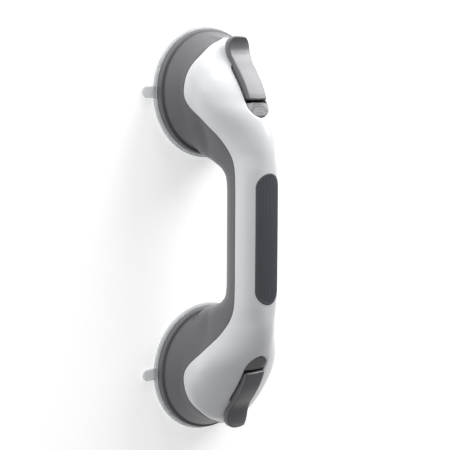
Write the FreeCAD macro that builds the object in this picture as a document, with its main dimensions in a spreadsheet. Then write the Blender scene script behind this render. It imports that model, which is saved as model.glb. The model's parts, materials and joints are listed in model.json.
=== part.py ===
import FreeCAD, Part
import Sketcher

import math
import os

# Suction grab bar. Frame: X along the bar, +Z away from the surface it clings to, origin midway between
# the two suction cups on that surface. Every mechanism piece exists twice, once at each end of the bar.

V = FreeCAD.Vector
UP = V(0, 0, 1)
ORIGIN = V(0, 0, 0)
ENDS = (("upper", 1), ("lower", -1))

DIMENSIONS = (
    ("overall_length", 300.0, "from cup rim to cup rim"),
    ("cup_radius", 47.9, "free edge of the suction cup"),
    ("seal_radius", 44.0, "inner edge of the ring that touches the wall"),
    ("cup_hollow", 6.5, "depth of the vacuum dish, drawn up"),
    ("cup_edge", 2.2, "thickness of the cup's free edge"),
    ("boss_radius", 13.0, "centre boss of the cup"),
    ("boss_top", 13.0, "top of the centre boss above the wall"),
    ("tab_reach", 9.9, "pull tab beyond the cup's edge"),
    ("tab_width", 8.5, "pull tab"),
    ("rim_radius", 46.0, "outer edge of the bell"),
    ("rim_low", 2.5, "underside of the bell's rim"),
    ("rim_high", 6.5, "top of the bell's rim"),
    ("cone_foot_radius", 44.5, "where the bell's cone starts"),
    ("cone_foot_height", 7.0, "step above the rim"),
    ("cone_top_radius", 39.0, "where the cone turns over"),
    ("cone_top_height", 21.0, "where the cone turns over"),
    ("wall", 2.8, "thickness of the shells"),
    ("deck_low", 19.0, "underside of the bell's inner deck"),
    ("deck_high", 22.0, "top of the bell's inner deck"),
    ("drum_radius", 15.5, "outside of the spring drum"),
    ("drum_inside", 13.3, "inside of the spring drum"),
    ("drum_roof", 36.5, "underside of the drum's roof"),
    ("drum_top", 40.0, "top of the drum, under the wear plate"),
    ("guide_radius", 8.5, "tube that guides the stem"),
    ("guide_low", 26.0, "lower end of the guide tube"),
    ("stem_radius", 5.0, "sliding stem"),
    ("stem_play", 0.05, "radial play of the stem in its guide"),
    ("foot_radius", 10.0, "stem's foot, moulded into the cup"),
    ("foot_low", 9.4, "underside of the stem's foot"),
    ("foot_high", 11.6, "top of the stem's foot"),
    ("tongue_low", 40.5, "where the stem narrows to its tongue"),
    ("tongue_width", 7.0, "tongue, across the bar"),
    ("tongue_radius", 4.2, "rounded eye around the pin"),
    ("pin_height", 51.0, "hinge pin above the wall, lever closed"),
    ("pin_radius", 2.0, "hinge pin"),
    ("pin_length", 16.6, "hinge pin"),
    ("pin_play", 0.05, "radial play of the lever on the pin"),
    ("pin_chamfer", 0.4, "broken edge at the pin's ends"),
    ("plate_length", 23.0, "wear plate, along the bar"),
    ("plate_width", 17.6, "wear plate, across the bar"),
    ("plate_thickness", 1.0, "wear plate"),
    ("plate_hole", 5.6, "hole for the stem"),
    ("plate_corner", 2.0, "corner radius"),
    ("washer_radius", 12.6, "washer under the spring"),
    ("washer_hole", 5.3, "hole for the stem"),
    ("washer_thickness", 1.2, "washer under the spring"),
    ("spring_radius", 10.5, "middle of the coil"),
    ("spring_wire", 0.7, "radius of the wire"),
    ("spring_turns", 5.0, "turns"),
    ("stroke", 4.0, "how far the cam lifts the cup"),
    ("cam_gap", 0.2, "cam to wear plate"),
    ("lever_width", 17.5, "lever"),
    ("lever_tab_width", 19.8, "finger tab at the lever's tip"),
    ("lever_wall", 2.55, "side walls beside the lever's cavity"),
    ("cheek_gap", 7.8, "slot between the lever's cheeks"),
    ("lever_edge", 0.7, "chamfer along the lever's top edges"),
    ("slot_width", 19.2, "opening in the cover for the lever"),
    ("slot_straight", 9.0, "straight part inboard of the pin"),
    ("slot_outboard", 18.5, "straight part outboard of the pin"),
    ("seat_width", 25.0, "lever seat under the cover"),
    ("pad_length", 93.0, "palm pad"),
    ("pad_width", 21.0, "palm pad"),
    ("pad_depth", 1.4, "how deep the pad is let into the cover"),
    ("pad_proud", 0.4, "how far the pad stands out of the cover"),
    ("screw_radius", 1.5, "thread"),
    ("screw_head", 3.0, "head radius"),
    ("screw_head_height", 2.0, "head height"),
    ("screw_length", 12.0, "under the head"),
    ("screw_drive", 1.5, "hexagon socket, corner radius"),
    ("screw_socket", 1.2, "depth of the socket"),
    ("screw_play", 0.2, "radial play in the clearance holes"),
    ("handle_screw_seat", 39.0, "where the handle screws' heads bear"),
    ("handle_boss_top", 41.5, "top of the boss behind the handle"),
    ("handle_boss_radius", 5.2, "boss behind the handle"),
    ("post_radius", 3.6, "screw post in the cover"),
    ("post_gap", 0.1, "post to the deck or boss that it stands over"),
    ("rib_low", 14.5, "lower edge of the ribs under the deck"),
    ("rib_thickness", 1.6, "stiffening rib under the deck"),
)

# Half of the handle: distance from the middle, crown height, floor height, half-width.
# The floor drops towards the bell to make the fillet that the fingers curl around.
HANDLE_STATIONS = (
    (0.0, 72.3, 35.7, 16.5),
    (34.0, 72.2, 35.6, 16.5),
    (42.0, 72.1, 34.5, 16.6),
    (48.0, 72.0, 29.5, 17.0),
    (54.0, 71.8, 17.0, 18.0),
    (60.0, 71.5, 9.0, 19.5),
    (70.0, 70.0, 8.0, 23.5),
    (80.0, 67.0, 8.0, 29.0),
    (88.0, 63.5, 8.0, 33.0),
    (96.0, 58.5, 8.0, 35.5),
    (102.0, 55.0, 8.0, 36.0),
    (110.0, 49.5, 8.0, 35.0),
    (118.0, 43.0, 8.0, 32.0),
    (126.0, 36.0, 8.0, 26.0),
    (134.0, 31.5, 8.0, 16.0),
    (138.0, 29.5, 9.0, 7.0),
)
# How square the handle's section is: distance from the middle, exponent (2 is an ellipse).
SECTION_POWERS = (
    (0.0, 2.3),
    (48.0, 2.3),
    (62.0, 2.05),
    (76.0, 1.8),
    (100.0, 1.75),
    (125.0, 2.0),
    (150.0, 2.1),
)
SECTION_POLES = 12
HANDLE_RINGS = 41

# Low dome that closes the bell above its cone: radius and height.
DOME = ((36.5, 28.0), (31.0, 33.0), (22.0, 38.0), (12.0, 41.5), (0.0, 43.0))

# Line where the white cover meets the grey shell, seen from the side: distance from the middle, height.
PARTING = (
    (0.0, 54.3),
    (24.0, 54.3),
    (48.0, 54.0),
    (66.0, 47.5),
    (79.0, 38.0),
    (91.0, 27.0),
    (100.0, 23.5),
    (118.0, 26.5),
    (130.5, 29.0),
    (141.0, 24.5),
    (160.0, 24.0),
)

# A height above every surface of the bar, for cutting tools that run right through, and the heights
# that the lever openings and the pad's recess are cut down to.
ABOVE_ALL = 90.0
OPENING_LOW = 24.0
PAD_RECESS_LOW = 60.0

# How much thinner than the shells the bell's wall gets at its rim, at the cone's foot and under the deck.
RIM_THINNING = 0.2
FOOT_THINNING = 0.3
DECK_THINNING = 0.7

# Depth of the counterbores behind the handle, and of the bosses that they run into.
COUNTERBORE_DEPTH = 8.0
BOSS_DEPTH = 10.0

# Screw posts, measured from the axis of a bell.
POST_PLACES = ((-14.0, -24.0), (-14.0, 24.0), (14.0, -24.0), (14.0, 24.0))
HANDLE_SCREWS = (-20.0, 20.0)
RIB_COUNT = 8

# Lever outline, measured along the bar from the pin, heights above the wall.
LEVER_TOP = (
    (-4.3, 59.3),
    (0.0, 57.7),
    (8.0, 53.6),
    (16.0, 48.0),
    (22.0, 43.2),
    (27.0, 40.4),
    (33.0, 39.5),
    (37.3, 38.6),
)
LEVER_TIP = (39.8, 36.2)
LEVER_HEEL = ((-5.75, 57.4), (-5.4, 58.7))
LEVER_BELOW = ((37.6, 34.0), (33.0, 34.4), (28.0, 35.5), (23.0, 38.1), (19.5, 41.2))
LEVER_CAVITY = ((6.8, 38.0), (6.8, 51.0), (10.0, 49.6), (16.5, 45.0), (17.5, 38.0))
LEVER_FLARE_START = 19.0
LEVER_FLARE_END = 28.0

# Slot between the lever's cheeks: how far it reaches inboard of the pin and below it.
CHEEK_SLOT_REACH = 12.0
CHEEK_SLOT_DEPTH = 15.0

# Ramp of the lever seat: from the lip of the opening down to the lever's heel.
RAMP_LIP = (-18.0, 63.2)
RAMP_MIDDLE = (-12.8, 59.4)
RAMP_FOOT = (-7.8, 57.7)
LEVER_SWEEP = 10.2

# Lever seat: its inboard end and length, its play under the cover, and the collar that lines the opening.
SEAT_INBOARD = -19.5
SEAT_LENGTH = 36.5
SEAT_PLAY = 0.15
COLLAR_PLAY = 0.25
COLLAR_BELOW_SKIN = 0.5
COLLAR_OUTBOARD = -4.0


class Size:
    """A length that knows both its value and the sheet formula it comes from."""

    def __init__(self, value, formula):
        self.value = float(value)
        self.formula = formula

    def joined(self, sign, other, value):
        return Size(value, "(%s %s %s)" % (self.formula, sign, as_size(other).formula))

    def __add__(self, other):
        return self.joined("+", other, self.value + float(other))

    def __sub__(self, other):
        return self.joined("-", other, self.value - float(other))

    def __mul__(self, other):
        return self.joined("*", other, self.value * float(other))

    def __truediv__(self, other):
        return self.joined("/", other, self.value / float(other))

    def __neg__(self):
        return Size(-self.value, "(0 - %s)" % self.formula)

    def __float__(self):
        return self.value


def as_size(number):
    return number if isinstance(number, Size) else Size(number, repr(float(number)))


class Sheet:
    """The driving dimensions: a spreadsheet whose cells are read as attributes of this object."""

    def __init__(self, doc):
        sheet = doc.addObject("Spreadsheet::Sheet", "Dimensions")
        for row, (alias, value, note) in enumerate(DIMENSIONS, start=1):
            sheet.set("A%d" % row, note)
            sheet.set("B%d" % row, str(value))
            sheet.setAlias("B%d" % row, alias)
        doc.recompute()
        for alias, value, note in DIMENSIONS:
            setattr(self, alias, Size(sheet.get(alias), "Dimensions." + alias))


doc = FreeCAD.newDocument("suction_grab_bar")
size = Sheet(doc)
cup_offset = size.overall_length / 2 - size.cup_radius


# ---------------------------------------------------------------- helpers for parametric pieces

def bind(target, name, value):
    """Sets a property and ties it to its formula."""
    if not isinstance(value, Size):
        setattr(target, name, value)
        return
    setattr(target, name, value.value)
    target.setExpression(name, value.formula)


def put_at_end(target, side, turn=True):
    """Moves a piece to one end of the bar; a turned piece faces outwards there."""
    angle = 180 if side < 0 and turn else 0
    target.Placement = FreeCAD.Placement(V(side * float(cup_offset), 0, 0), FreeCAD.Rotation(UP, angle))
    target.setExpression("Placement.Base.x", "%d * %s" % (side, cup_offset.formula))


def new_body(name):
    body = doc.addObject("PartDesign::Body", name)
    body.Label = name
    return body


def origin_plane(body, role):
    for feature in body.Origin.OriginFeatures:
        if feature.Role == role:
            return feature
    raise RuntimeError("no origin plane " + role)


def new_sketch(body, name, plane):
    sketch = body.newObject("Sketcher::SketchObject", name)
    sketch.AttachmentSupport = [(origin_plane(body, plane), "")]
    sketch.MapMode = "FlatFace"
    return sketch


def fix_coordinate(sketch, kind, geometry, point, value):
    """Dimensions one coordinate of a point from the sketch's origin."""
    if abs(float(value)) < 1e-9:
        axis = -2 if kind == "DistanceX" else -1
        sketch.addConstraint(Sketcher.Constraint("PointOnObject", geometry, point, axis))
        return
    if float(value) > 0:
        ends = (-1, 1, geometry, point)
        length = as_size(value)
    else:
        ends = (geometry, point, -1, 1)
        length = -as_size(value)
    index = sketch.addConstraint(Sketcher.Constraint(kind, *ends, length.value))
    sketch.setExpression("Constraints[%d]" % index, length.formula)


def arc_between(start, end, radius, centre_height):
    """Counter-clockwise arc joining two points; tells too whether it runs from start to end."""
    chord = end - start
    left = V(-chord.y, chord.x, 0).normalize()
    half = chord.Length / 2
    depth = math.sqrt(max(radius * radius - half * half, 0.0))
    centre = (start + end) / 2 - left * math.copysign(depth, radius)
    centre.y = centre_height
    angles = [math.atan2(spot.y - centre.y, spot.x - centre.x) for spot in (start, end)]
    forward = radius < 0
    if not forward:
        angles.reverse()
    return Part.ArcOfCircle(Part.Circle(centre, UP, abs(radius)), *angles), forward


def outline(sketch, corners, arcs=None):
    """Closed loop of lines; arcs maps the number of an edge to its arc's radius and centre height.

    A positive radius bulges to the left of the way along the edge.
    """
    arcs = arcs or {}
    spots = [V(float(x), float(y), 0) for x, y in corners]
    first = []
    last = []
    for i, spot in enumerate(spots):
        after = spots[(i + 1) % len(spots)]
        if i not in arcs:
            index = sketch.addGeometry(Part.LineSegment(spot, after), False)
            first.append((index, 1))
            last.append((index, 2))
            continue
        arc, forward = arc_between(spot, after, float(arcs[i][0]), float(arcs[i][1]))
        index = sketch.addGeometry(arc, False)
        first.append((index, 1 if forward else 2))
        last.append((index, 2 if forward else 1))
    for i, (x, y) in enumerate(corners):
        sketch.addConstraint(Sketcher.Constraint("Coincident", *last[i - 1], *first[i]))
        fix_coordinate(sketch, "DistanceX", *first[i], x)
        fix_coordinate(sketch, "DistanceY", *first[i], y)
    for i, (radius, centre_height) in arcs.items():
        fix_coordinate(sketch, "DistanceY", first[i][0], 3, centre_height)


def circle(sketch, radius, height=0.0):
    """Circle on the sketch's vertical axis."""
    index = sketch.addGeometry(Part.Circle(V(0, float(height), 0), UP, float(radius)), False)
    fix_coordinate(sketch, "DistanceX", index, 3, 0.0)
    fix_coordinate(sketch, "DistanceY", index, 3, height)
    limit = sketch.addConstraint(Sketcher.Constraint("Radius", index, float(radius)))
    sketch.setExpression("Constraints[%d]" % limit, as_size(radius).formula)


def turned(body, name, corners, arcs=None):
    """Solid of revolution about the body's Z axis; corners are radius and height."""
    sketch = new_sketch(body, name + "_profile", "XZ_Plane")
    outline(sketch, corners, arcs)
    feature = body.newObject("PartDesign::Revolution", name)
    feature.Profile = sketch
    feature.ReferenceAxis = (sketch, ["V_Axis"])
    feature.Angle = 360
    return feature


def pad(body, name, sketch, length, both_ways=False):
    feature = body.newObject("PartDesign::Pad", name)
    feature.Profile = sketch
    feature.SideType = "Symmetric" if both_ways else "One side"
    bind(feature, "Length", length)
    return feature


def pocket_through(body, name, sketch):
    """Cuts the sketch out of the whole body, both ways from its plane; it has to remove something."""
    doc.recompute()
    before = body.Shape.Volume
    feature = body.newObject("PartDesign::Pocket", name)
    feature.Profile = sketch
    feature.Type = "ThroughAll"
    feature.SideType = "Symmetric"
    doc.recompute()
    if body.Shape.Volume > before - 1e-6:
        raise RuntimeError(name + " removes nothing")
    return feature


def round_upright_edges(body, name, base, radius):
    doc.recompute()
    upright = []
    for number, edge in enumerate(base.Shape.Edges, start=1):
        direction = edge.Vertexes[-1].Point - edge.Vertexes[0].Point
        if direction.Length > 1e-6 and abs(direction.normalize().z) > 0.999:
            upright.append("Edge%d" % number)
    feature = body.newObject("PartDesign::Fillet", name)
    feature.Base = (base, upright)
    bind(feature, "Radius", radius)
    return feature


def cylinder(name, radius, low, high, x=0.0, y=0.0):
    piece = doc.addObject("Part::Cylinder", name)
    bind(piece, "Radius", radius)
    bind(piece, "Height", as_size(high) - low)
    piece.Placement.Base = V(float(x), float(y), float(low))
    piece.setExpression("Placement.Base.z", as_size(low).formula)
    return piece


def shape_piece(name, shape):
    """A piece whose shape is worked out in code."""
    feature = doc.addObject("Part::Feature", name)
    feature.Label = name
    feature.Shape = shape
    return feature


# ---------------------------------------------------------------- surfaces of the two shells

def smooth_value(places, values, place):
    """Monotone cubic through a few stations, so that nothing overshoots between them."""
    steps = [b - a for a, b in zip(places, places[1:])]
    slopes = [(b - a) / step for a, b, step in zip(values, values[1:], steps)]
    tangents = [0.0]
    for i in range(1, len(slopes)):
        before, after = slopes[i - 1], slopes[i]
        if before * after <= 0:
            tangents.append(0.0)
            continue
        weight_a = 2 * steps[i] + steps[i - 1]
        weight_b = steps[i] + 2 * steps[i - 1]
        tangents.append((weight_a + weight_b) / (weight_a / before + weight_b / after))
    tangents.append(slopes[-1])
    i = max(j for j in range(len(steps)) if places[j] <= place)
    t = (place - places[i]) / steps[i]
    here = (1 + 2 * t) * (1 - t) ** 2 * values[i] + t * (1 - t) ** 2 * steps[i] * tangents[i]
    there = t * t * (3 - 2 * t) * values[i + 1] + t * t * (t - 1) * steps[i] * tangents[i + 1]
    return here + there


def handle_station(x):
    """Crown height, floor height and half-width of the handle at a place along the bar."""
    places = [row[0] for row in HANDLE_STATIONS]
    place = min(abs(x), places[-1])
    return [smooth_value(places, [row[column] for row in HANDLE_STATIONS], place) for column in (1, 2, 3)]


def rounded(value, power):
    """Cosine or sine bent from a circle to a squarer or slimmer section."""
    return math.copysign(abs(value) ** (2 / power), value)


def handle_ring(x, inset):
    """Control points of one cross-section, pulled in by the inset."""
    crown, floor, half_width = handle_station(x)
    middle = (crown + floor) / 2
    half_height = (crown - floor) / 2 - inset
    half_width -= inset
    power = smooth_value(*zip(*SECTION_POWERS), abs(x))
    reach = 3 / (2 + math.cos(2 * math.pi / SECTION_POLES))
    ring = []
    for i in range(SECTION_POLES):
        angle = 2 * math.pi * i / SECTION_POLES
        across = reach * half_width * rounded(math.cos(angle), power)
        above = reach * half_height * rounded(math.sin(angle), power)
        ring.append(V(x, across, middle + above))
    return ring


def handle_solid(inset):
    """The handle from end to end as one smooth surface with flat ends, pulled in by the inset."""
    end = HANDLE_STATIONS[-1][0] - inset
    even = [-end + 2 * end * i / (HANDLE_RINGS - 1) for i in range(HANDLE_RINGS)]
    places = [-end, -end + 2] + even[1:-1] + [end - 2, end]
    net = [handle_ring(x, inset) for x in places]
    degree = 3
    along = [float(i) for i in range(len(net) - degree + 1)]
    along_repeats = [degree + 1] + [1] * (len(along) - 2) + [degree + 1]
    around = [float(i) for i in range(SECTION_POLES + 1)]
    around_repeats = [1] * len(around)
    surface = Part.BSplineSurface()
    surface.buildFromPolesMultsKnots(
        net, along_repeats, around_repeats, along, around, False, True, degree, degree)
    side = surface.toShape()
    rims = [edge for edge in side.Edges if abs(abs(edge.CenterOfMass.x) - end) < 1e-6]
    caps = [Part.Face(Part.Wire([rim])) for rim in rims]
    shell = Part.Shell([side] + caps)
    shell.sewShape()
    solid = Part.Solid(shell)
    if solid.Volume < 0:
        solid.reverse()
    return solid


def revolved(corners):
    """Solid of revolution about Z from corners given as radius and height."""
    spots = [V(float(radius), 0, float(height)) for radius, height in corners]
    return Part.Face(Part.makePolygon(spots + spots[:1])).revolve(ORIGIN, UP, 360)


def at_ends(shape):
    """Two copies of a shape made about Z, one on the axis of each bell, each facing outwards."""
    copies = []
    for name, side in ENDS:
        copy = shape.copy()
        copy.rotate(ORIGIN, UP, 0 if side > 0 else 180)
        copy.translate(V(side * float(cup_offset), 0, 0))
        copies.append(copy)
    return copies


def bell_solid(inset):
    """Bell with its rim, cone and low dome; an inset one starts at the deck."""
    dome = [(max(radius - inset, 0), height - inset) for radius, height in DOME]
    cone_top = (size.cone_top_radius - inset, size.cone_top_height)
    if inset > 0:
        deck = (size.cone_top_radius - inset, size.deck_high)
        return revolved([(0, size.deck_high), deck] + dome)
    foot = [
        (0, size.rim_low),
        (size.rim_radius, size.rim_low),
        (size.rim_radius, size.rim_high),
        (size.cone_foot_radius, size.cone_foot_height),
    ]
    return revolved(foot + [cone_top] + dome)


def bell_foot():
    """Solid bell up to the deck: the part that the handle's hollow doesn't enter."""
    return revolved([
        (0, size.rim_low),
        (size.rim_radius, size.rim_low),
        (size.rim_radius, size.rim_high),
        (size.cone_foot_radius, size.cone_foot_height),
        (size.cone_top_radius, size.cone_top_height),
        (size.cone_top_radius - 0.4, size.deck_high),
        (0, size.deck_high),
    ])


def bell_hollow():
    """Space under the deck that holds the suction cup, with the hole in the deck for the drum."""
    mouth = size.rim_radius - size.wall + RIM_THINNING
    return revolved([
        (0, 0),
        (mouth, 0),
        (mouth, size.rim_low),
        (size.cone_foot_radius - size.wall + FOOT_THINNING, size.cone_foot_height),
        (size.cone_top_radius - size.wall + DECK_THINNING, size.deck_low),
        (size.drum_inside, size.deck_low),
        (size.drum_inside, size.deck_high + 1),
        (0, size.deck_high + 1),
    ])


def above_parting():
    """Everything on the cover's side of the parting line."""
    reach = 70.0
    top = 100.0
    right = [V(x, -reach, height) for x, height in PARTING]
    left = [V(-x, -reach, height) for x, height in reversed(PARTING[1:])]
    spots = left + right
    curve = Part.BSplineCurve()
    curve.interpolate(spots)
    far_right = V(spots[-1].x, -reach, top)
    far_left = V(spots[0].x, -reach, top)
    edges = [
        curve.toShape(),
        Part.makeLine(spots[-1], far_right),
        Part.makeLine(far_right, far_left),
        Part.makeLine(far_left, spots[0]),
    ]
    return Part.Face(Part.Wire(edges)).extrude(V(0, 2 * reach, 0))


def stadium(half_width, left, right, low, high):
    """Upright prism with round ends; left and right are the centres of the ends."""
    block = Part.makeBox(right - left, 2 * half_width, high - low, V(left, -half_width, low))
    ends = [Part.makeCylinder(half_width, high - low, V(x, 0, low)) for x in (left, right)]
    return block.fuse(ends)


def lever_opening(half_width, outboard, low, high):
    """Plan of the opening about a bell's axis: round inboard, square outboard."""
    straight = float(size.slot_straight)
    block = Part.makeBox(straight + outboard, 2 * half_width, high - low, V(-straight, -half_width, low))
    return block.fuse(Part.makeCylinder(half_width, high - low, V(-straight, 0, low)))


def pad_prism():
    half_width = float(size.pad_width) / 2
    straight = float(size.pad_length) / 2 - half_width
    return stadium(half_width, -straight, straight, PAD_RECESS_LOW, ABOVE_ALL)


def screw_posts(outer):
    """Posts of the cover that the screws bite into, running up to the outer skin."""
    radius = float(size.post_radius)
    over_deck = float(size.deck_high + size.post_gap)
    over_boss = float(size.handle_boss_top + size.post_gap)
    posts = []
    for x, y in POST_PLACES:
        posts += at_ends(Part.makeCylinder(radius, ABOVE_ALL - over_deck, V(x, y, over_deck)))
    for x in HANDLE_SCREWS:
        posts.append(Part.makeCylinder(radius, ABOVE_ALL - over_boss, V(x, 0, over_boss)))
    return [post.common(outer) for post in posts]


def pilot_holes():
    """Holes in the posts, as deep as the screws reach."""
    radius = float(size.screw_radius)
    length = float(size.screw_length)
    holes = []
    for x, y in POST_PLACES:
        holes += at_ends(Part.makeCylinder(radius, length, V(x, y, float(size.deck_low))))
    for x in HANDLE_SCREWS:
        holes.append(Part.makeCylinder(radius, length, V(x, 0, float(size.handle_screw_seat))))
    return holes


def clearance_holes():
    """Holes in the rear shell for the screws, with a counterbore behind the handle."""
    radius = float(size.screw_radius + size.screw_play)
    counterbore = float(size.screw_head + size.screw_play)
    seat = float(size.handle_screw_seat)
    deck = float(size.deck_high - size.rib_low)
    holes = []
    for x, y in POST_PLACES:
        holes += at_ends(Part.makeCylinder(radius, deck + 1, V(x, y, float(size.rib_low))))
    for x in HANDLE_SCREWS:
        through = float(size.handle_boss_top) - seat + 2
        holes.append(Part.makeCylinder(radius, through, V(x, 0, seat - 1)))
        holes.append(Part.makeCylinder(counterbore, COUNTERBORE_DEPTH, V(x, 0, seat - COUNTERBORE_DEPTH)))
    return holes


def deck_ribs():
    """Radial ribs under the deck, between the drum and the bell's wall."""
    inner = float(size.drum_inside) + 1
    outer = float(size.cone_top_radius) - 1
    thickness = float(size.rib_thickness)
    low = float(size.rib_low)
    height = float(size.deck_low) + 0.5 - low
    ribs = []
    for i in range(RIB_COUNT):
        rib = Part.makeBox(outer - inner, thickness, height, V(inner, -thickness / 2, low))
        rib.rotate(ORIGIN, UP, 360.0 * i / RIB_COUNT)
        ribs += at_ends(rib)
    return ribs


def handle_bosses(outer):
    """Bosses inside the handle's rear half that the two handle screws draw down on."""
    radius = float(size.handle_boss_radius)
    top = float(size.handle_boss_top)
    low = top - BOSS_DEPTH
    return [Part.makeCylinder(radius, BOSS_DEPTH, V(x, 0, low)).common(outer) for x in HANDLE_SCREWS]


wall = float(size.wall)
outer_skin = handle_solid(0).fuse(at_ends(bell_solid(0)))
hollow = handle_solid(wall).cut(at_ends(bell_foot()))
hollow = hollow.fuse(at_ends(bell_solid(wall)))
skin = outer_skin.cut([hollow] + at_ends(bell_hollow()))
front_side = above_parting()


# ---------------------------------------------------------------- the two shells and the pad

def make_front_cover():
    """White cover: handle front and the tongues over the bells."""
    cover = skin.common(front_side).fuse(screw_posts(outer_skin))
    half_slot = float(size.slot_width) / 2
    openings = at_ends(lever_opening(half_slot, float(size.slot_outboard), OPENING_LOW, ABOVE_ALL))
    pad_recess = pad_prism().cut(handle_solid(float(size.pad_depth)))
    cover = cover.cut(openings + [pad_recess] + pilot_holes())
    return shape_piece("front_cover", cover)


def make_drum(name, side):
    """Spring drum with the stem's guide tube, part of the rear shell."""
    body = new_body(name + "_drum")
    bore = size.stem_radius + size.stem_play
    turned(body, "drum", [
        (bore, size.guide_low),
        (size.guide_radius, size.guide_low),
        (size.guide_radius, size.drum_roof),
        (size.drum_inside, size.drum_roof),
        (size.drum_inside, size.deck_low),
        (size.drum_radius, size.deck_low),
        (size.drum_radius, size.drum_top),
        (bore, size.drum_top),
    ])
    put_at_end(body, side)
    return body


def make_rear_shell():
    """Grey shell: handle rear, both bells with their decks, drums and ribs."""
    rear = skin.cut(front_side).fuse(deck_ribs() + handle_bosses(outer_skin)).cut(clearance_holes())
    blank = shape_piece("rear_blank", rear)
    drums = [make_drum(name, side) for name, side in ENDS]
    shell = doc.addObject("Part::MultiFuse", "rear_shell")
    shell.Label = "rear_shell"
    shell.Shapes = [blank] + drums
    return shell


def make_palm_grip():
    """Soft pad let into the handle's front."""
    proud = handle_solid(-float(size.pad_proud))
    return shape_piece("palm_grip", pad_prism().common(proud).cut(handle_solid(float(size.pad_depth))))


def make_handle_screws():
    screws = []
    for number, x in enumerate(HANDLE_SCREWS, start=1):
        screws.append(make_screw("handle_screw_%d" % number, x, 0.0, size.handle_screw_seat))
    group = doc.addObject("Part::Compound", "handle_screws")
    group.Label = "handle_screws"
    group.Links = screws
    return group


def make_screw(name, x, y, seat):
    """Pan-head screw pointing up, its head's upper face at the seat height."""
    bottom = seat - size.screw_head_height
    head = cylinder(name + "_head", size.screw_head, bottom, seat, x, y)
    thread = cylinder(name + "_thread", size.screw_radius, seat - 0.5, seat + size.screw_length, x, y)
    socket = doc.addObject("Part::Prism", name + "_socket")
    socket.Polygon = 6
    bind(socket, "Circumradius", size.screw_drive)
    bind(socket, "Height", size.screw_socket)
    socket.Placement.Base = V(x, y, float(bottom))
    socket.setExpression("Placement.Base.z", bottom.formula)
    blank = doc.addObject("Part::Fuse", name + "_blank")
    blank.Base = head
    blank.Tool = thread
    screw = doc.addObject("Part::Cut", name)
    screw.Base = blank
    screw.Tool = socket
    return screw


# ---------------------------------------------------------------- pieces at each end

def make_suction_cup(name, side):
    body = new_body(name + "_suction_cup")
    squares = size.seal_radius * size.seal_radius + size.cup_hollow * size.cup_hollow
    dish_radius = squares / (size.cup_hollow * 2)
    turned(body, "dish", [
        (0, size.cup_hollow),
        (size.seal_radius, 0),
        (size.cup_radius, 0),
        (size.cup_radius, size.cup_edge),
        (size.cup_radius - 4.9, size.cup_edge),
        (size.cup_radius - 9.9, size.cup_edge + 2.2),
        (size.boss_radius, size.foot_low + 0.2),
        (size.boss_radius, size.boss_top),
        (size.stem_radius, size.boss_top),
        (size.stem_radius, size.foot_high),
        (size.foot_radius, size.foot_high),
        (size.foot_radius, size.foot_low),
        (0, size.foot_low),
    ], {0: (dish_radius, size.cup_hollow - dish_radius)})
    sketch = new_sketch(body, "tab_profile", "XY_Plane")
    half = size.tab_width / 2
    root = size.cup_radius - 3
    shoulder = size.cup_radius + size.tab_reach - half
    corners = [(-half, root), (half, root), (half, shoulder), (-half, shoulder)]
    outline(sketch, corners, {2: (-half, shoulder)})
    pad(body, "tab", sketch, size.cup_edge)
    put_at_end(body, side, turn=False)
    return body


def make_stem(name, side):
    body = new_body(name + "_stem")
    top = size.pin_height + size.tongue_radius
    turned(body, "shaft", [
        (0, size.foot_low),
        (size.foot_radius, size.foot_low),
        (size.foot_radius, size.foot_high),
        (size.stem_radius, size.foot_high),
        (size.stem_radius, top),
        (0, top),
    ])
    clear = size.stem_radius + 1
    half = size.tongue_width / 2
    flats = new_sketch(body, "flats", "YZ_Plane")
    for near, far in ((half, clear), (-clear, -half)):
        low = size.tongue_low
        outline(flats, [(near, low), (far, low), (far, top + 1), (near, top + 1)])
    pocket_through(body, "tongue_flats", flats)
    eye = new_sketch(body, "eye_outline", "XZ_Plane")
    outline(eye, [
        (-clear, size.tongue_low),
        (-size.tongue_radius, size.tongue_low),
        (-size.tongue_radius, size.pin_height),
        (size.tongue_radius, size.pin_height),
        (size.tongue_radius, size.tongue_low),
        (clear, size.tongue_low),
        (clear, top + 1),
        (-clear, top + 1),
    ], {2: (size.tongue_radius, size.pin_height)})
    pocket_through(body, "eye", eye)
    hole = new_sketch(body, "pin_hole_outline", "XZ_Plane")
    circle(hole, size.pin_radius, size.pin_height)
    pocket_through(body, "pin_hole", hole)
    put_at_end(body, side)
    return body


def make_lever_pin(name, side):
    body = new_body(name + "_lever_pin")
    sketch = new_sketch(body, "section", "XZ_Plane")
    circle(sketch, size.pin_radius, size.pin_height)
    rod = pad(body, "rod", sketch, size.pin_length, both_ways=True)
    doc.recompute()
    chamfer = body.newObject("PartDesign::Chamfer", "broken_edges")
    rings = ["Edge%d" % i for i, edge in enumerate(rod.Shape.Edges, start=1) if edge.isClosed()]
    chamfer.Base = (rod, rings)
    bind(chamfer, "Size", size.pin_chamfer)
    put_at_end(body, side)
    return body


def make_wear_plate(name, side):
    body = new_body(name + "_wear_plate")
    sketch = new_sketch(body, "plate_outline", "XY_Plane")
    x = size.plate_length / 2
    y = size.plate_width / 2
    outline(sketch, [(-x, -y), (x, -y), (x, y), (-x, y)])
    plate = pad(body, "plate", sketch, size.plate_thickness)
    round_upright_edges(body, "corners", plate, size.plate_corner)
    hole = new_sketch(body, "hole_outline", "XY_Plane")
    circle(hole, size.plate_hole)
    pocket_through(body, "hole", hole)
    put_at_end(body, side)
    body.setExpression("Placement.Base.z", size.drum_top.formula)
    return body


def make_spring_washer(name, side):
    low = size.boss_top
    high = size.boss_top + size.washer_thickness
    disc = cylinder(name + "_washer_disc", size.washer_radius, low, high)
    hole = cylinder(name + "_washer_hole", size.washer_hole, low - 1, high + 1)
    washer = doc.addObject("Part::Cut", name + "_spring_washer")
    washer.Label = name + "_spring_washer"
    washer.Base = disc
    washer.Tool = hole
    put_at_end(washer, side)
    return washer


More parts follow.
